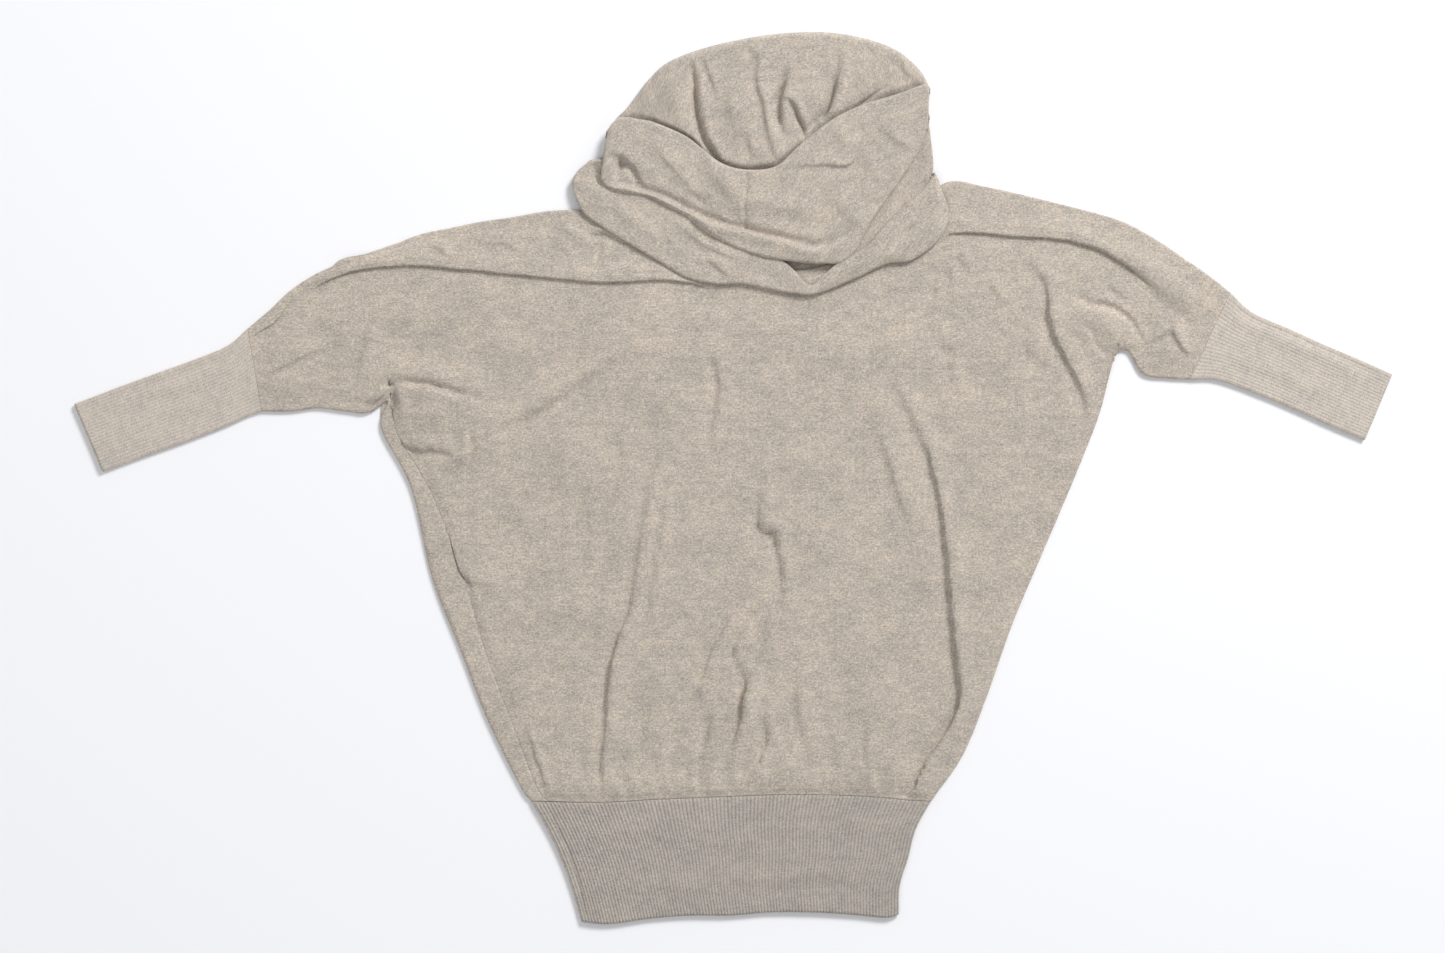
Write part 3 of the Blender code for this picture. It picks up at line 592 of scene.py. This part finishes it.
rng = np.random.default_rng(7)
gathers = []
for index in range(HEM_GATHERS):
    x = between(-176, 180, (index + rng.uniform(0.1, 0.9)) / HEM_GATHERS)
    length = rng.uniform(16, 42) if rng.uniform() < 0.75 else rng.uniform(45, 80)
    lean = rng.uniform(-0.25, 0.25) + x / 900
    foot = GATHER_FOOT + rng.uniform(-2, 6)
    halfway = (x + lean * length * 0.5 + rng.uniform(-2, 2), foot + length * 0.5)
    line = ((x, foot), halfway, (x + lean * length, foot + length))
    width, height = rng.uniform(3.4, 5.5), rng.uniform(1.1, 2.5)
    gathers.append(Crease(line, width, height, rng.choice((-1, 1, 1)) * rng.uniform(0.6, 0.9), 0.4))
moved = creased(FRONT_CREASES + tuple(gathers), flat_place)
hem_bulge = 1.3 * np.exp(-(((edge_gap - 13) / 10) ** 2)) * (1 - side[:, None])
free = ease(0.5, 7, edge_gap) * ease(0, 8, top_gap) * ends_held
is_tuck = (row >= ARC_ROWS + SHOULDER_ROWS - 2) & (chest_down[0] == 0)
free = np.where(is_tuck[None], 0.0, free)
lift = puff * np.where(is_tuck[None], 0.0, 1.0) + (moved[..., 2] + fine + hem_bulge) * free
front_points[..., :2] += moved[..., :2] * free[..., None]
front_points[..., 2] += np.maximum(lift, DEEPEST)
front = knit_sheet("front", front_points, front_points[..., :2], body_yarn)
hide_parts("front_panel")

# Hem rib: a tube of one by one rib in the same yarn, a little darker, sewn to the body's lower
# edge, which is gathered on to it. It lies pressed flat, with its left seam on the front.

HEM_SIDES = ((-188, 187), (-172, 173), (-159, 166), (-149, 158), (-141, 157))
HEM_END = (
    (-141, -416), (-114, -418), (-77, -413), (-39, -410), (-1, -410),
    (36, -407), (74, -407), (111, -409), (144, -412), (157, -409),
)
HEM_SEAM = tuple(station.back for station in STATIONS[NECK_FROM:NECK_TO + 1])
HEM_TOP, HEM_FOOT = -303.0, -412.0  # straight lines across its two ends
HEM_RIBS = 104
HEM_ROWS = 44
RIB_COLUMNS = 7
HEM_RISE = 0.85  # how far its ribs stand out
HEM_GROOVE = 0.12  # depth of the seam to the body
RIB_TURN = 2.3
HEM_CREASES = (
    Crease(((-171, -307), (-163, -328), (-154, -348), (-145, -375), (-139, -398), (-137, -418)),
           1.8, -1.6, 0.0, 0.0),
    Crease(((-120, -330), (-90, -336), (-40, -330)), 9, 1.2, 0.6, 0.0),
    Crease(((-20, -372), (30, -380), (90, -374), (130, -384)), 9, 1.6, 0.7, 0.0),
    Crease(((40, -352), (90, -348), (140, -356)), 10, 1.2, -0.6, 0.0),
    Crease(((-110, -390), (-60, -384), (-20, -392)), 8, 1.2, 0.6, 0.0),
    Crease(((176, -306), (163, -326), (156, -350)), 7, 1.6, 0.7, 0.0),
)
# Its rib value paints shade into the valleys between its ribs
rib_yarn = knit_yarn(
    "rib_knit", dark=(0.29, 0.275, 0.26), middle=(0.49, 0.44, 0.39), light=(0.64, 0.55, 0.45),
    wale=1.8, course=1.3, depth=0.35, rib=0.36,
)


def path_along(line):
    """How far along a line each of its points is."""
    return np.concatenate([[0], np.cumsum(np.linalg.norm(np.diff(line, axis=0), axis=1))])


def groove(points, from_seam, depth):
    """The shallow groove in a tube's face where it is sewn on."""
    points[..., 2] -= depth * np.exp(-from_seam[None] / 1.6) * (points[..., 2] > 3)


def rib_tube(first, last, ribs, rise, creases, bend=None):
    """A pressed tube of rib, from the lines of its two sides, given as rows of points.

    Its front and sides are ribbed. Its underside rests and is plain.
    """
    width = np.linalg.norm(last - first, axis=1)
    span = width + (pi - 2) * RIB_TURN
    columns = []

    def lay(inward, below, step=0.0, ribbed=False):
        columns.append(np.broadcast_arrays(inward, 2 * RIB_TURN - below, step, ribbed, width)[:4])

    for q in np.linspace(-RIB_TURN * pi / 2, 0, 7)[:-1]:
        lay(*rolled(q, RIB_TURN))
    for step in np.linspace(0, 1, ribs * RIB_COLUMNS + 1):
        q = step * span
        from_first, from_last = rolled(q, RIB_TURN), rolled(span - q, RIB_TURN)
        near = q < span / 2
        inward = np.where(near, from_first[0], width - from_last[0])
        lay(inward, np.where(near, from_first[1], from_last[1]), step, True)
    for q in np.linspace(0, -RIB_TURN * pi / 2, 7)[1:]:
        inward, below = rolled(q, RIB_TURN)
        lay(width - inward, below)
    for step in np.linspace(1, 0, 41)[1:]:
        lay(RIB_TURN + step * (width - 2 * RIB_TURN), 2 * RIB_TURN)
    inward, height, step, ribbed = (np.stack(values) for values in zip(*columns))
    flat = between(first[None], last[None], (inward / width)[..., None])
    if bend is not None:
        flat = flat + bend(inward / width)
    ridge = np.abs(np.sin(pi * ribs * step)) ** 0.7 - 0.5
    relief = creased(creases, flat)[..., 2]
    relief = relief + 0.25 * uneven(flat, 17, 8.0) + 0.35 * uneven(flat, 45, 6.0)
    inner = ease(RIB_TURN * 0.6, RIB_TURN * 3, np.minimum(inward, width - inward))
    height = height + ribbed * (rise * ridge + relief * inner)
    points = with_height(flat, height)
    around = path_along(points[:, 0])
    cloth_x = np.where(ribbed, step * (ribs * RIB_WIDTH), around[:, None])
    return points, np.stack(np.broadcast_arrays(cloth_x, path_along((first + last) / 2)), -1)


down_hem = np.linspace(0, 1, HEM_ROWS)
hem_line = between(HEM_TOP, HEM_FOOT, down_hem)
hem_sides = smooth(HEM_SIDES, down_hem * (len(HEM_SIDES) - 1))
hem_left = np.stack([hem_sides[:, 0], hem_line], 1)
hem_right = np.stack([hem_sides[:, 1], hem_line], 1)
fine_seam = smooth(HEM_SEAM, np.linspace(0, len(HEM_SEAM) - 1, 80))
fine_end = smooth(HEM_END, np.linspace(0, len(HEM_END) - 1, 80))


def hem_drop(share):
    """Where the tube's rows go at each share of the way across it, past a straight line."""
    seam, end = (
        np.interp(share, (line[:, 0] - line[0, 0]) / np.ptp(line[:, 0]), line[:, 1])
        for line in (fine_seam, fine_end)
    )
    y = between(seam - 2 * SEAM_GAP, end, down_hem[None])
    return np.stack([0 * y, y - hem_line[None]], -1)


hem_points, hem_cloth = rib_tube(hem_left, hem_right, HEM_RIBS, HEM_RISE, HEM_CREASES, hem_drop)
groove(hem_points, down_hem * (HEM_TOP - HEM_FOOT), HEM_GROOVE)
hem = knit_sheet("hem", hem_points, hem_cloth, rib_yarn)
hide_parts("hem_rib")

# Cuffs: two long tubes of the same rib, sewn to the ends of the sleeves and pressed flat. Each
# narrows away from the sleeve.

LEFT_CUFF = (
    ((-454.1, 141), (-441.1, 63)), ((-473, 125), (-453, 59)), ((-501, 113), (-475, 49)),
    ((-537, 100), (-511, 35)), ((-575, 86), (-550, 21)), ((-617, 70), (-590, 6)),
)
RIGHT_CUFF = (
    ((468.1, 175), (430.1, 93)), ((489, 156), (457, 92)), ((525, 140), (499, 77)),
    ((558, 125), (532, 63)), ((589, 112), (563, 49)), ((620, 98), (594, 36)),
)
CUFF_RIBS = 24
CUFF_RISE = 0.3
CUFF_GROOVE = 0.06
CUFF_ROWS = 80
# The cuffs' yarn is coloured lighter than the body's: painted light for the brighter light on
# the cuffs. Its rib value paints shade into the valleys between its ribs.
cuff_yarn_painted_light = knit_yarn(
    "cuff_rib_knit", dark=(0.41, 0.385, 0.36), middle=(0.63, 0.56, 0.49), light=(0.80, 0.69, 0.57),
    wale=1.8, course=1.3, depth=0.35, rib=0.2,
)
LEFT_CUFF_CREASES = (
    Crease(((-458, 116), (-500, 98), (-540, 84), (-580, 72)), 8, 1.5, 0.7, 0.0),
    Crease(((-470, 78), (-510, 62), (-560, 46)), 8, 1.2, -0.6, 0.0),
)
RIGHT_CUFF_CREASES = (
    Crease(((458, 168), (480, 152), (528, 130), (565, 114), (591, 99), (604, 91)), 8, 1.8, -0.7, 0.0),
    Crease(((462, 112), (510, 96), (570, 70)), 8, 1.1, 0.6, 0.0),
)


def sew_cuff(name, table, creases, turned):
    """turned swaps the sides, so that the face of the tube is on the outside on both cuffs."""
    reach = np.insert(np.linspace(0, len(table) - 1, CUFF_ROWS), 1, END_COLUMN)
    top, bottom = (smooth([row[end] for row in table], reach) for end in (0, 1))
    first, last = (bottom, top) if turned else (top, bottom)
    points, cloth = rib_tube(first, last, CUFF_RIBS, CUFF_RISE, creases)
    groove(points, np.linalg.norm((top + bottom) / 2 - (top[0] + bottom[0]) / 2, axis=1), CUFF_GROOVE)
    cuff = knit_sheet(name, points, cloth, cuff_yarn_painted_light)
    return cuff


left_cuff = sew_cuff("left_cuff", LEFT_CUFF, LEFT_CUFF_CREASES, False)
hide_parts("cuff_left")
right_cuff = sew_cuff("right_cuff", RIGHT_CUFF, RIGHT_CUFF_CREASES, True)
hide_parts("cuff_right")

# Back of the collar: the cowl is one long tube of the body's knit, sewn to the neckline. Behind
# the neck it goes over the surface to the rim, turns, and comes back as the inside of the cowl.

collar_yarn = knit_yarn("collar_knit", **BODY_KNIT)
CollarBack = namedtuple("CollarBack", "seam rim inner height")
COLLAR_BACK = (
    CollarBack((-126, 252), (-122, 300), (-101, 290), 5.5),
    CollarBack((-112, 250), (-112, 332), (-86, 298), 6.5),
    CollarBack((-94, 247), (-97, 349), (-71, 293), 8.2),
    CollarBack((-60, 243), (-77, 375), (-50, 281), 10.5),
    CollarBack((-39, 241), (-58, 391), (-25, 266), 11.4),
    CollarBack((-10, 240), (-20, 405), (5, 256), 12.0),
    CollarBack((27, 239), (36, 416), (40, 256), 12.2),
    CollarBack((60, 240), (92, 418), (75, 270), 12.0),
    CollarBack((93, 242), (140, 408), (103, 295), 11.0),
    CollarBack((120, 247), (168, 392), (128, 316), 9.0),
    CollarBack((144, 252), (185, 368), (150, 325), 7.0),
    CollarBack((162, 258), (184, 335), (157, 312), 5.9),
    CollarBack((174, 263), (189, 292), (168, 287), 5.3),
)
COLLAR_BAND = (
    # rim, lower edge
    ((-115, 331), (-124, 276)), ((-103, 338), (-110, 270)), ((-86, 336), (-93, 266)),
    ((-72, 333), (-79, 264)), ((-44, 321), (-61, 255)), ((-28, 309), (-44, 246)),
    ((-9, 295), (-20, 228)), ((13, 289), (17, 211)), ((41, 292), (50, 204)),
    ((64, 312), (84, 201)), ((93, 335), (110, 206)), ((121, 349), (134, 245)),
    ((156, 360), (158, 279)), ((172, 366), (175, 306)), ((185, 371), (184, 330)),
)
COWL_FLOOR = 4.6  # where the inside of the cowl goes under the front's rim
COWL_LOWEST = 3.4  # where its deepest creases touch the layer behind them
COWL_CREASES = (
    Crease(((-35, 366), (-32, 350), (-29, 335), (-25, 318), (-15, 300)), 3.0, -7.0, 0.0, 0.0),
    Crease(((47, 368), (43, 357), (44, 345), (43, 331)), 2.6, -8.0, 0.0, 0.0),
    Crease(((100, 370), (97, 355), (92, 343), (86, 331)), 2.6, -8.0, 0.0, 0.0),
    Crease(((60, 352), (66, 331), (71, 317)), 2.6, -5.0, 0.0, 0.0),
    Crease(((116, 343), (124, 350), (134, 358), (147, 368)), 2.8, -6.0, 0.0, 0.0),
    Crease(((-36, 388), (-34, 374), (-32, 356), (-30, 337), (-24, 316), (-8, 290)), 4.5, -6.5, 0.0, 0.0),
    Crease(((-36, 396), (-33, 377), (-31, 356), (-29, 337), (-22, 318), (-6, 296)), 5, 3.6, 0.9, 0.5),
    Crease(((-30, 398), (-23, 386), (-16, 366), (-12, 350)), 5, 1.6, 0.9, 0.4),
    Crease(((9, 416), (24, 393), (24, 370), (31, 353), (33, 330), (39, 309), (45, 292)), 6, 2.8, 0.9, 0.5),
    Crease(((52, 388), (48, 366), (45, 351), (44, 339), (47, 316)), 4.5, -5.5, 0.0, 0.0),
    Crease(((54, 390), (50, 366), (47, 350), (47, 322)), 4.5, 2.8, 0.9, 0.5),
    Crease(((72, 416), (68, 396), (57, 379), (52, 364)), 6, 1.6, 0.8, 0.4),
    Crease(((46, 362), (60, 350), (65, 336), (72, 314)), 4.5, 3.4, 0.9, 0.6),
    Crease(((105, 410), (101, 379), (98, 363), (92, 344), (78, 328), (60, 310)), 6, 4.4, 0.9, 0.6),
    Crease(((100, 384), (97, 363), (90, 344), (76, 328), (64, 314)), 4, -4.4, 0.0, 0.0),
    Crease(((158, 377), (132, 358), (121, 349), (86, 332)), 5.5, 3.0, 0.9, 0.5),
    Crease(((150, 400), (161, 388), (176, 366)), 7, 2.2, 0.8, 0.3),
    Crease(((14, 324), (17, 312), (20, 298)), 5, 1.5, 0.8, 0.3),
    Crease(((-62, 378), (-54, 348), (-50, 316)), 11, 2.0, 0.6, 0.2),
    Crease(((-6, 376), (-1, 345), (6, 316)), 9, 1.8, 0.6, 0.2),
    Crease(((122, 406), (126, 385), (118, 364)), 9, 1.8, -0.6, 0.2),
)
COWL_COLUMNS = 300
COWL_ROWS = 92
SEAM_SHORT = 0.8  # how far short of the neckline its lower layer stops
at = np.linspace(0, len(COLLAR_BACK) - 1, COWL_COLUMNS)
seam_line, rim_line, inner_line = (
    smooth(column(COLLAR_BACK, name), at) for name in ("seam", "rim", "inner")
)
high = smooth([(row.height,) for row in COLLAR_BACK], at)[:, 0]
to_seam = (seam_line - rim_line) / np.linalg.norm(seam_line - rim_line, axis=1)[:, None]
to_inner = (inner_line - rim_line) / np.linalg.norm(inner_line - rim_line, axis=1)[:, None]
half = high / 2
# Over the surface, round the rim, and back as the inside of the cowl
rows = []
for t in np.linspace(0, 1, 14)[:-1]:
    line = between(seam_line - to_seam * SEAM_SHORT, rim_line + to_seam * half[:, None], t)
    rows.append(with_height(line, 0.0))
for angle in np.linspace(-pi / 2, pi / 2, 15)[:-1]:
    towards = to_seam if angle < 0 else to_inner
    inward = half * (1 - np.cos(angle))
    rows.append(with_height(rim_line + towards * inward[:, None], half * (1 + np.sin(angle))))
cowl_from = len(rows)
front_rim = np.array([row[0] for row in COLLAR_BAND], float)
for t in np.linspace(0, 1, COWL_ROWS):
    line = between(rim_line + to_inner * half[:, None], inner_line, t)
    above_rim = line[:, 1] - np.interp(line[:, 0], front_rim[:, 0], front_rim[:, 1])
    sunk = np.maximum(0.3 * t, 1 - ease(-4, 8, above_rim)) * ease(0, 0.12, t)
    rows.append(with_height(line, between(high, np.minimum(high, COWL_FLOOR), sunk)))
cowl_points = np.stack(rows, 1)
flat_place = cowl_points[..., :2].copy()
from_rim = np.linalg.norm(flat_place - rim_line[:, None], axis=-1)
from_rim *= (np.arange(len(rows)) >= cowl_from)[None]
moved = creased(COWL_CREASES, flat_place)
moved[..., 2] += 1.5 * uneven(flat_place, 30, 11.0) + 0.5 * uneven(flat_place, 13, 12.0)
cowl_points += moved * ease(1, 14, from_rim)[..., None]
cowl_points[:, cowl_from:, 2] = np.maximum(cowl_points[:, cowl_from:, 2], COWL_LOWEST)
from_seam = np.array([path_along(line) for line in cowl_points[..., :2]])
cowl_cloth = np.stack(np.broadcast_arrays(path_along(rim_line)[:, None], from_seam), -1)
collar_back = knit_sheet("collar_back_fold", cowl_points, cowl_cloth, collar_yarn)
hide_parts("collar_back")

# Front band of the collar: the widest stretch, from the rim of the cowl down over the neckline.
# Its one seam runs down it. A roll of it lies over its left half, and its edges turn under.

BAND_CREASES = (
    # where a roll of it lies over its lower left half
    Crease(((-132, 272), (-100, 271), (-77, 264), (-46, 250), (-14, 235),
            (14, 229), (44, 222), (74, 214), (98, 217), (118, 233)), 5, 3.8, -0.9, 0.6),
    Crease(((-132, 277), (-99, 276), (-76, 269), (-44, 255), (-12, 240),
            (16, 233), (46, 226), (76, 219), (98, 224), (116, 238)), 3.6, -3.4, 0.3, 0.0),
    Crease(((-112, 302), (-102, 296), (-88, 284), (-72, 273)), 7, -3.0, 0.0, 0.0),
    Crease(((-36, 268), (-30, 259), (-20, 252)), 5, -2.6, 0.0, 0.0),
    Crease(((-6, 250), (4, 243), (15, 236)), 5, -2.4, 0.0, 0.0),
    # the draped edge, and the seam down the band
    Crease(((36, 289), (74, 293), (104, 293), (114, 299), (120, 312), (135, 338)), 5, 2.4, 0.9, 0.5),
    Crease(((19, 294), (15, 278), (13, 262), (12, 247), (12, 228)), 1.9, -2.2, 0.0, 0.0),
    # loops at the left, and soft folds
    Crease(((-102, 305), (-104, 292), (-108, 278)), 3.5, -6.0, 0.0, 0.0),
    Crease(((-118, 308), (-93, 293), (-86, 283), (-78, 268)), 6, 2.8, 0.9, 0.5),
    Crease(((-82, 322), (-60, 295), (-48, 281), (-34, 258)), 9, 2.2, 0.85, 0.3),
    Crease(((-32, 302), (-8, 271), (12, 246)), 12, 2.4, 0.8, 0.2),
    Crease(((6, 256), (46, 251), (90, 242)), 10, 1.8, 0.8, 0.2),
    Crease(((132, 334), (150, 318), (170, 306)), 7, 1.7, 0.8, 0.3),
    Crease(((124, 308), (129, 292), (134, 276)), 9, 1.4, 0.8, 0.2),
    Crease(((88, 268), (106, 248), (120, 226)), 10, 1.5, 0.6, 0.1),
    Crease(((86, 334), (100, 316), (106, 300)), 10, 1.5, 0.6, 0.1),
)
BAND_TOP = 15.6
BAND_CROWN = 0.9
LEFT_DROP = 2.6  # how much lower its lower edge lies than its rim at the left
LESS_DROP = 1.4  # and how much less that is at the right
BAND_RADIUS = 2.8


def across_strip(width, radius, tuck, count):
    """Places across a strip whose two edges roll under: in from its first edge, and below its top."""
    reach = width + (pi - 2) * radius
    steps = np.linspace(0, 1, count)
    q = -tuck + (reach + 2 * tuck) * steps
    first, last = rolled(q, radius), rolled(reach - q, radius)
    near = q < reach / 2
    return np.where(near, first[0], width - last[0]), np.where(near, first[1], last[1]), q


def collar_stretch(table, columns, rows, radius, tuck, top, creases, seed, corner):
    """The face of a stretch of the collar, its edges and ends rolled under, and its cloth."""
    firsts, lasts = [row[0] for row in table], [row[1] for row in table]
    fine = np.linspace(0, len(table) - 1, 400)
    middle = (smooth(firsts, fine) + smooth(lasts, fine)) / 2
    run = path_along(middle)
    place, end_below, along = across_strip(run[-1], radius, tuck, columns)
    at = np.interp(place, run, fine)
    start, end = smooth(firsts, at), smooth(lasts, at)
    width = np.linalg.norm(end - start, axis=1)[:, None]
    # Its four corners are rounded off
    from_end = np.clip(1 - np.minimum(place, run[-1] - place) / corner, 0, 1)[:, None]
    inset = np.minimum(corner * (1 - np.sqrt(1 - from_end ** 2)), 0.3 * width)
    start, end = start + (end - start) * inset / width, end - (end - start) * inset / width
    width = width - 2 * inset
    across, edge_below, over = across_strip(width, radius, np.minimum(tuck, 0.42 * width), rows)
    share = across / width
    flat = between(start[:, None], end[:, None], share[..., None])
    below = np.maximum(end_below[:, None], edge_below)
    moved = creased(creases, flat)
    moved[..., 2] += 0.9 * uneven(flat, 27, seed) + 0.4 * uneven(flat, 12, seed + 1)
    height = top(at[:, None], share) - below
    points = with_height(flat, height) + moved * np.clip(1 - below / radius, 0, 1)[..., None]
    return points, np.stack(np.broadcast_arrays(along[:, None], over), -1)


def band_top(at, share):
    crown = BAND_CROWN * np.sin(pi * np.clip(share, 0, 1)) ** 0.6
    return BAND_TOP + crown - (LEFT_DROP - LESS_DROP * ease(8, 10.5, at)) * share


points, cloth = collar_stretch(COLLAR_BAND, 240, 92, BAND_RADIUS, 6, band_top, BAND_CREASES, 21.0, 9)
band = knit_sheet("collar_front_band", points, cloth, collar_yarn)
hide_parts("collar_band")

# Lowest fold of the collar: it lies on the front in a V round the neck, from a small pile of
# folds at the left to the right side of the neck.

COLLAR_FOLD = (
    # inner edge, outer edge, lift
    ((-116, 301), (-138, 296), 0), ((-107, 292), (-149, 280), 0), ((-98, 284), (-146, 262), 0),
    ((-85, 278), (-138, 248), 0), ((-70, 270), (-122, 236), 0), ((-55, 262), (-100, 222), 0),
    ((-38, 250), (-73, 206), 0), ((-18, 238), (-42, 188), 0), ((5, 228), (-14, 182), 0),
    ((30, 220), (12, 182), 0), ((47, 206), (41, 176), 0), ((60, 194), (60, 173), 0),
    ((73, 181), (76, 172), 0), ((86, 191), (97, 179), 0.6), ((105, 206), (120, 189), 1),
    ((124, 216), (146, 201), 1), ((137, 230), (168, 204), 1), ((151, 246), (190, 219), 1),
    ((164, 257), (202, 237), 1), ((175, 266), (203, 252), 1), ((182, 274), (199, 265), 1),
    ((186, 280), (195, 275), 1), ((188, 286), (192, 283), 1),
)
FOLD_TOP = 9.4
FOLD_LIFT = 3.2  # how much higher its inner edge lies where it is lifted
FOLD_RADIUS = 2.1
FOLD_CREASES = (
    Crease(((-128, 270), (-112, 262), (-90, 246), (-60, 222)), 8, 1.6, -0.7, 0.3),
    Crease(((-62, 246), (-30, 222), (-11, 212), (24, 200)), 7, 1.8, 0.8, 0.4),
    Crease(((-26, 206), (-12, 198), (-1, 186)), 5, 2.2, 0.9, 0.3),
    Crease(((-127, 297), (-127, 286), (-123, 270)), 4.5, -5.0, 0.0, 0.0),
    Crease(((128, 214), (136, 222), (142, 232)), 5, 1.8, 0.8, 0.3),
    Crease(((150, 226), (170, 238), (184, 252)), 7, 1.5, 0.7, 0.2),
    Crease(((96, 190), (116, 198), (140, 210)), 6, 1.3, 0.7, 0.2),
)


def fold_top(at, share):
    lift = np.interp(at, range(len(COLLAR_FOLD)), [row[2] for row in COLLAR_FOLD])
    inner_lift = FOLD_LIFT * lift * np.clip((1 - share) / 0.35, 0, 1)
    return FOLD_TOP + 0.7 * np.sin(pi * np.clip(share, 0, 1)) + inner_lift


points, cloth = collar_stretch(
    COLLAR_FOLD, 330, 44, FOLD_RADIUS, 6, fold_top, FOLD_CREASES, 31.0, 7,
)
fold = knit_sheet("collar_low_fold", points, cloth, collar_yarn)
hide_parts("collar_fold")

# Middle stretch of the collar: the same tube of knit, where it goes from under the band to under
# the lowest fold at the right. Only the folds on it hold it down.

COLLAR_MIDDLE = (
    # edge under the band, edge under the fold, height that it lies at
    ((96, 220), (108, 199), 4.6), ((106, 231), (120, 205), 4.6), ((118, 243), (134, 214), 4.6),
    ((132, 260), (151, 229), 4.6), ((147, 280), (169, 247), 4.6), ((160, 303), (182, 266), 4.8),
    ((168, 322), (189, 290), 5.2), ((172, 338), (187, 317), 5.6), ((174, 352), (184, 338), 6.2),
)
MIDDLE_RISE = 2.5  # of its face over the height that it lies at, at the edge under the band
MIDDLE_SLOPE = 0.9  # how much more it rises towards the fold
MIDDLE_RADIUS = 1.7
MIDDLE_CREASES = (Crease(((120, 232), (150, 262), (176, 300)), 6, 1.0, 0.6, 0.2),)


def middle_top(at, share):
    lies_at = np.interp(at, range(len(COLLAR_MIDDLE)), [row[2] for row in COLLAR_MIDDLE])
    rise = MIDDLE_RISE + MIDDLE_SLOPE * np.clip(2 * share, 0, 1)
    return lies_at + rise + 0.5 * np.sin(pi * np.clip(share, 0, 1))


points, cloth = collar_stretch(
    COLLAR_MIDDLE, 120, 40, MIDDLE_RADIUS, 5, middle_top, MIDDLE_CREASES, 41.0, 4,
)
middle = knit_sheet("collar_middle_fold", points, cloth, collar_yarn)
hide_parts("collar_middle")

# Surface, light and camera: a plain near-white surface in soft light that comes a little from
# above the neck, seen from straight above.

FLOOR_SIZE = 8.0
FLOOR_GAP = 0.0003
build = bmesh.new()
bmesh.ops.create_grid(build, x_segments=1, y_segments=1, size=FLOOR_SIZE / 2)
floor_mesh = bpy.data.meshes.new("floor")
build.to_mesh(floor_mesh)
build.free()
floor_mesh.transform(Matrix.Translation((0, 0, -FLOOR_GAP)))
floor = bpy.data.objects.new("floor", floor_mesh)
bpy.context.scene.collection.objects.link(floor)
floor_paint = bpy.data.materials.new("floor")
floor_paint.use_nodes = True
paint = floor_paint.node_tree.nodes["Principled BSDF"]
paint.inputs["Base Color"].default_value = (0.93, 0.935, 0.965, 1)
paint.inputs["Roughness"].default_value = 0.9
floor_mesh.materials.append(floor_paint)


def soft_light(name, place, size, power):
    data = bpy.data.lights.new(name, "AREA")
    data.size = size
    data.energy = power
    lamp = bpy.data.objects.new(name, data)
    lamp.location = place
    lamp.rotation_euler = (-Vector(place)).to_track_quat("-Z", "Y").to_euler()
    bpy.context.scene.collection.objects.link(lamp)


soft_light("window", (2.2, 3.2, 3.0), 1.4, 195)
soft_light("fill", (-1.6, -1.2, 2.8), 2.0, 12)
world = bpy.data.worlds.new("studio")
world.use_nodes = True
world.node_tree.nodes["Background"].inputs["Color"].default_value = (1, 1, 1, 1)
world.node_tree.nodes["Background"].inputs["Strength"].default_value = 0.487
bpy.context.scene.world = world
bpy.context.scene.view_settings.view_transform = "Standard"

CAMERA_HEIGHT = 2.5
FRAME_WIDTH = 1.358  # of the photograph's frame, on the surface
FRAME_MIDDLE = (-0.00996, 0.00158)
SENSOR = 36
camera_data = bpy.data.cameras.new("camera")
camera_data.sensor_width = SENSOR
camera_data.lens = SENSOR * CAMERA_HEIGHT / FRAME_WIDTH
camera = bpy.data.objects.new("camera", camera_data)
camera.location = (*FRAME_MIDDLE, CAMERA_HEIGHT)
bpy.context.scene.collection.objects.link(camera)
bpy.context.scene.camera = camera
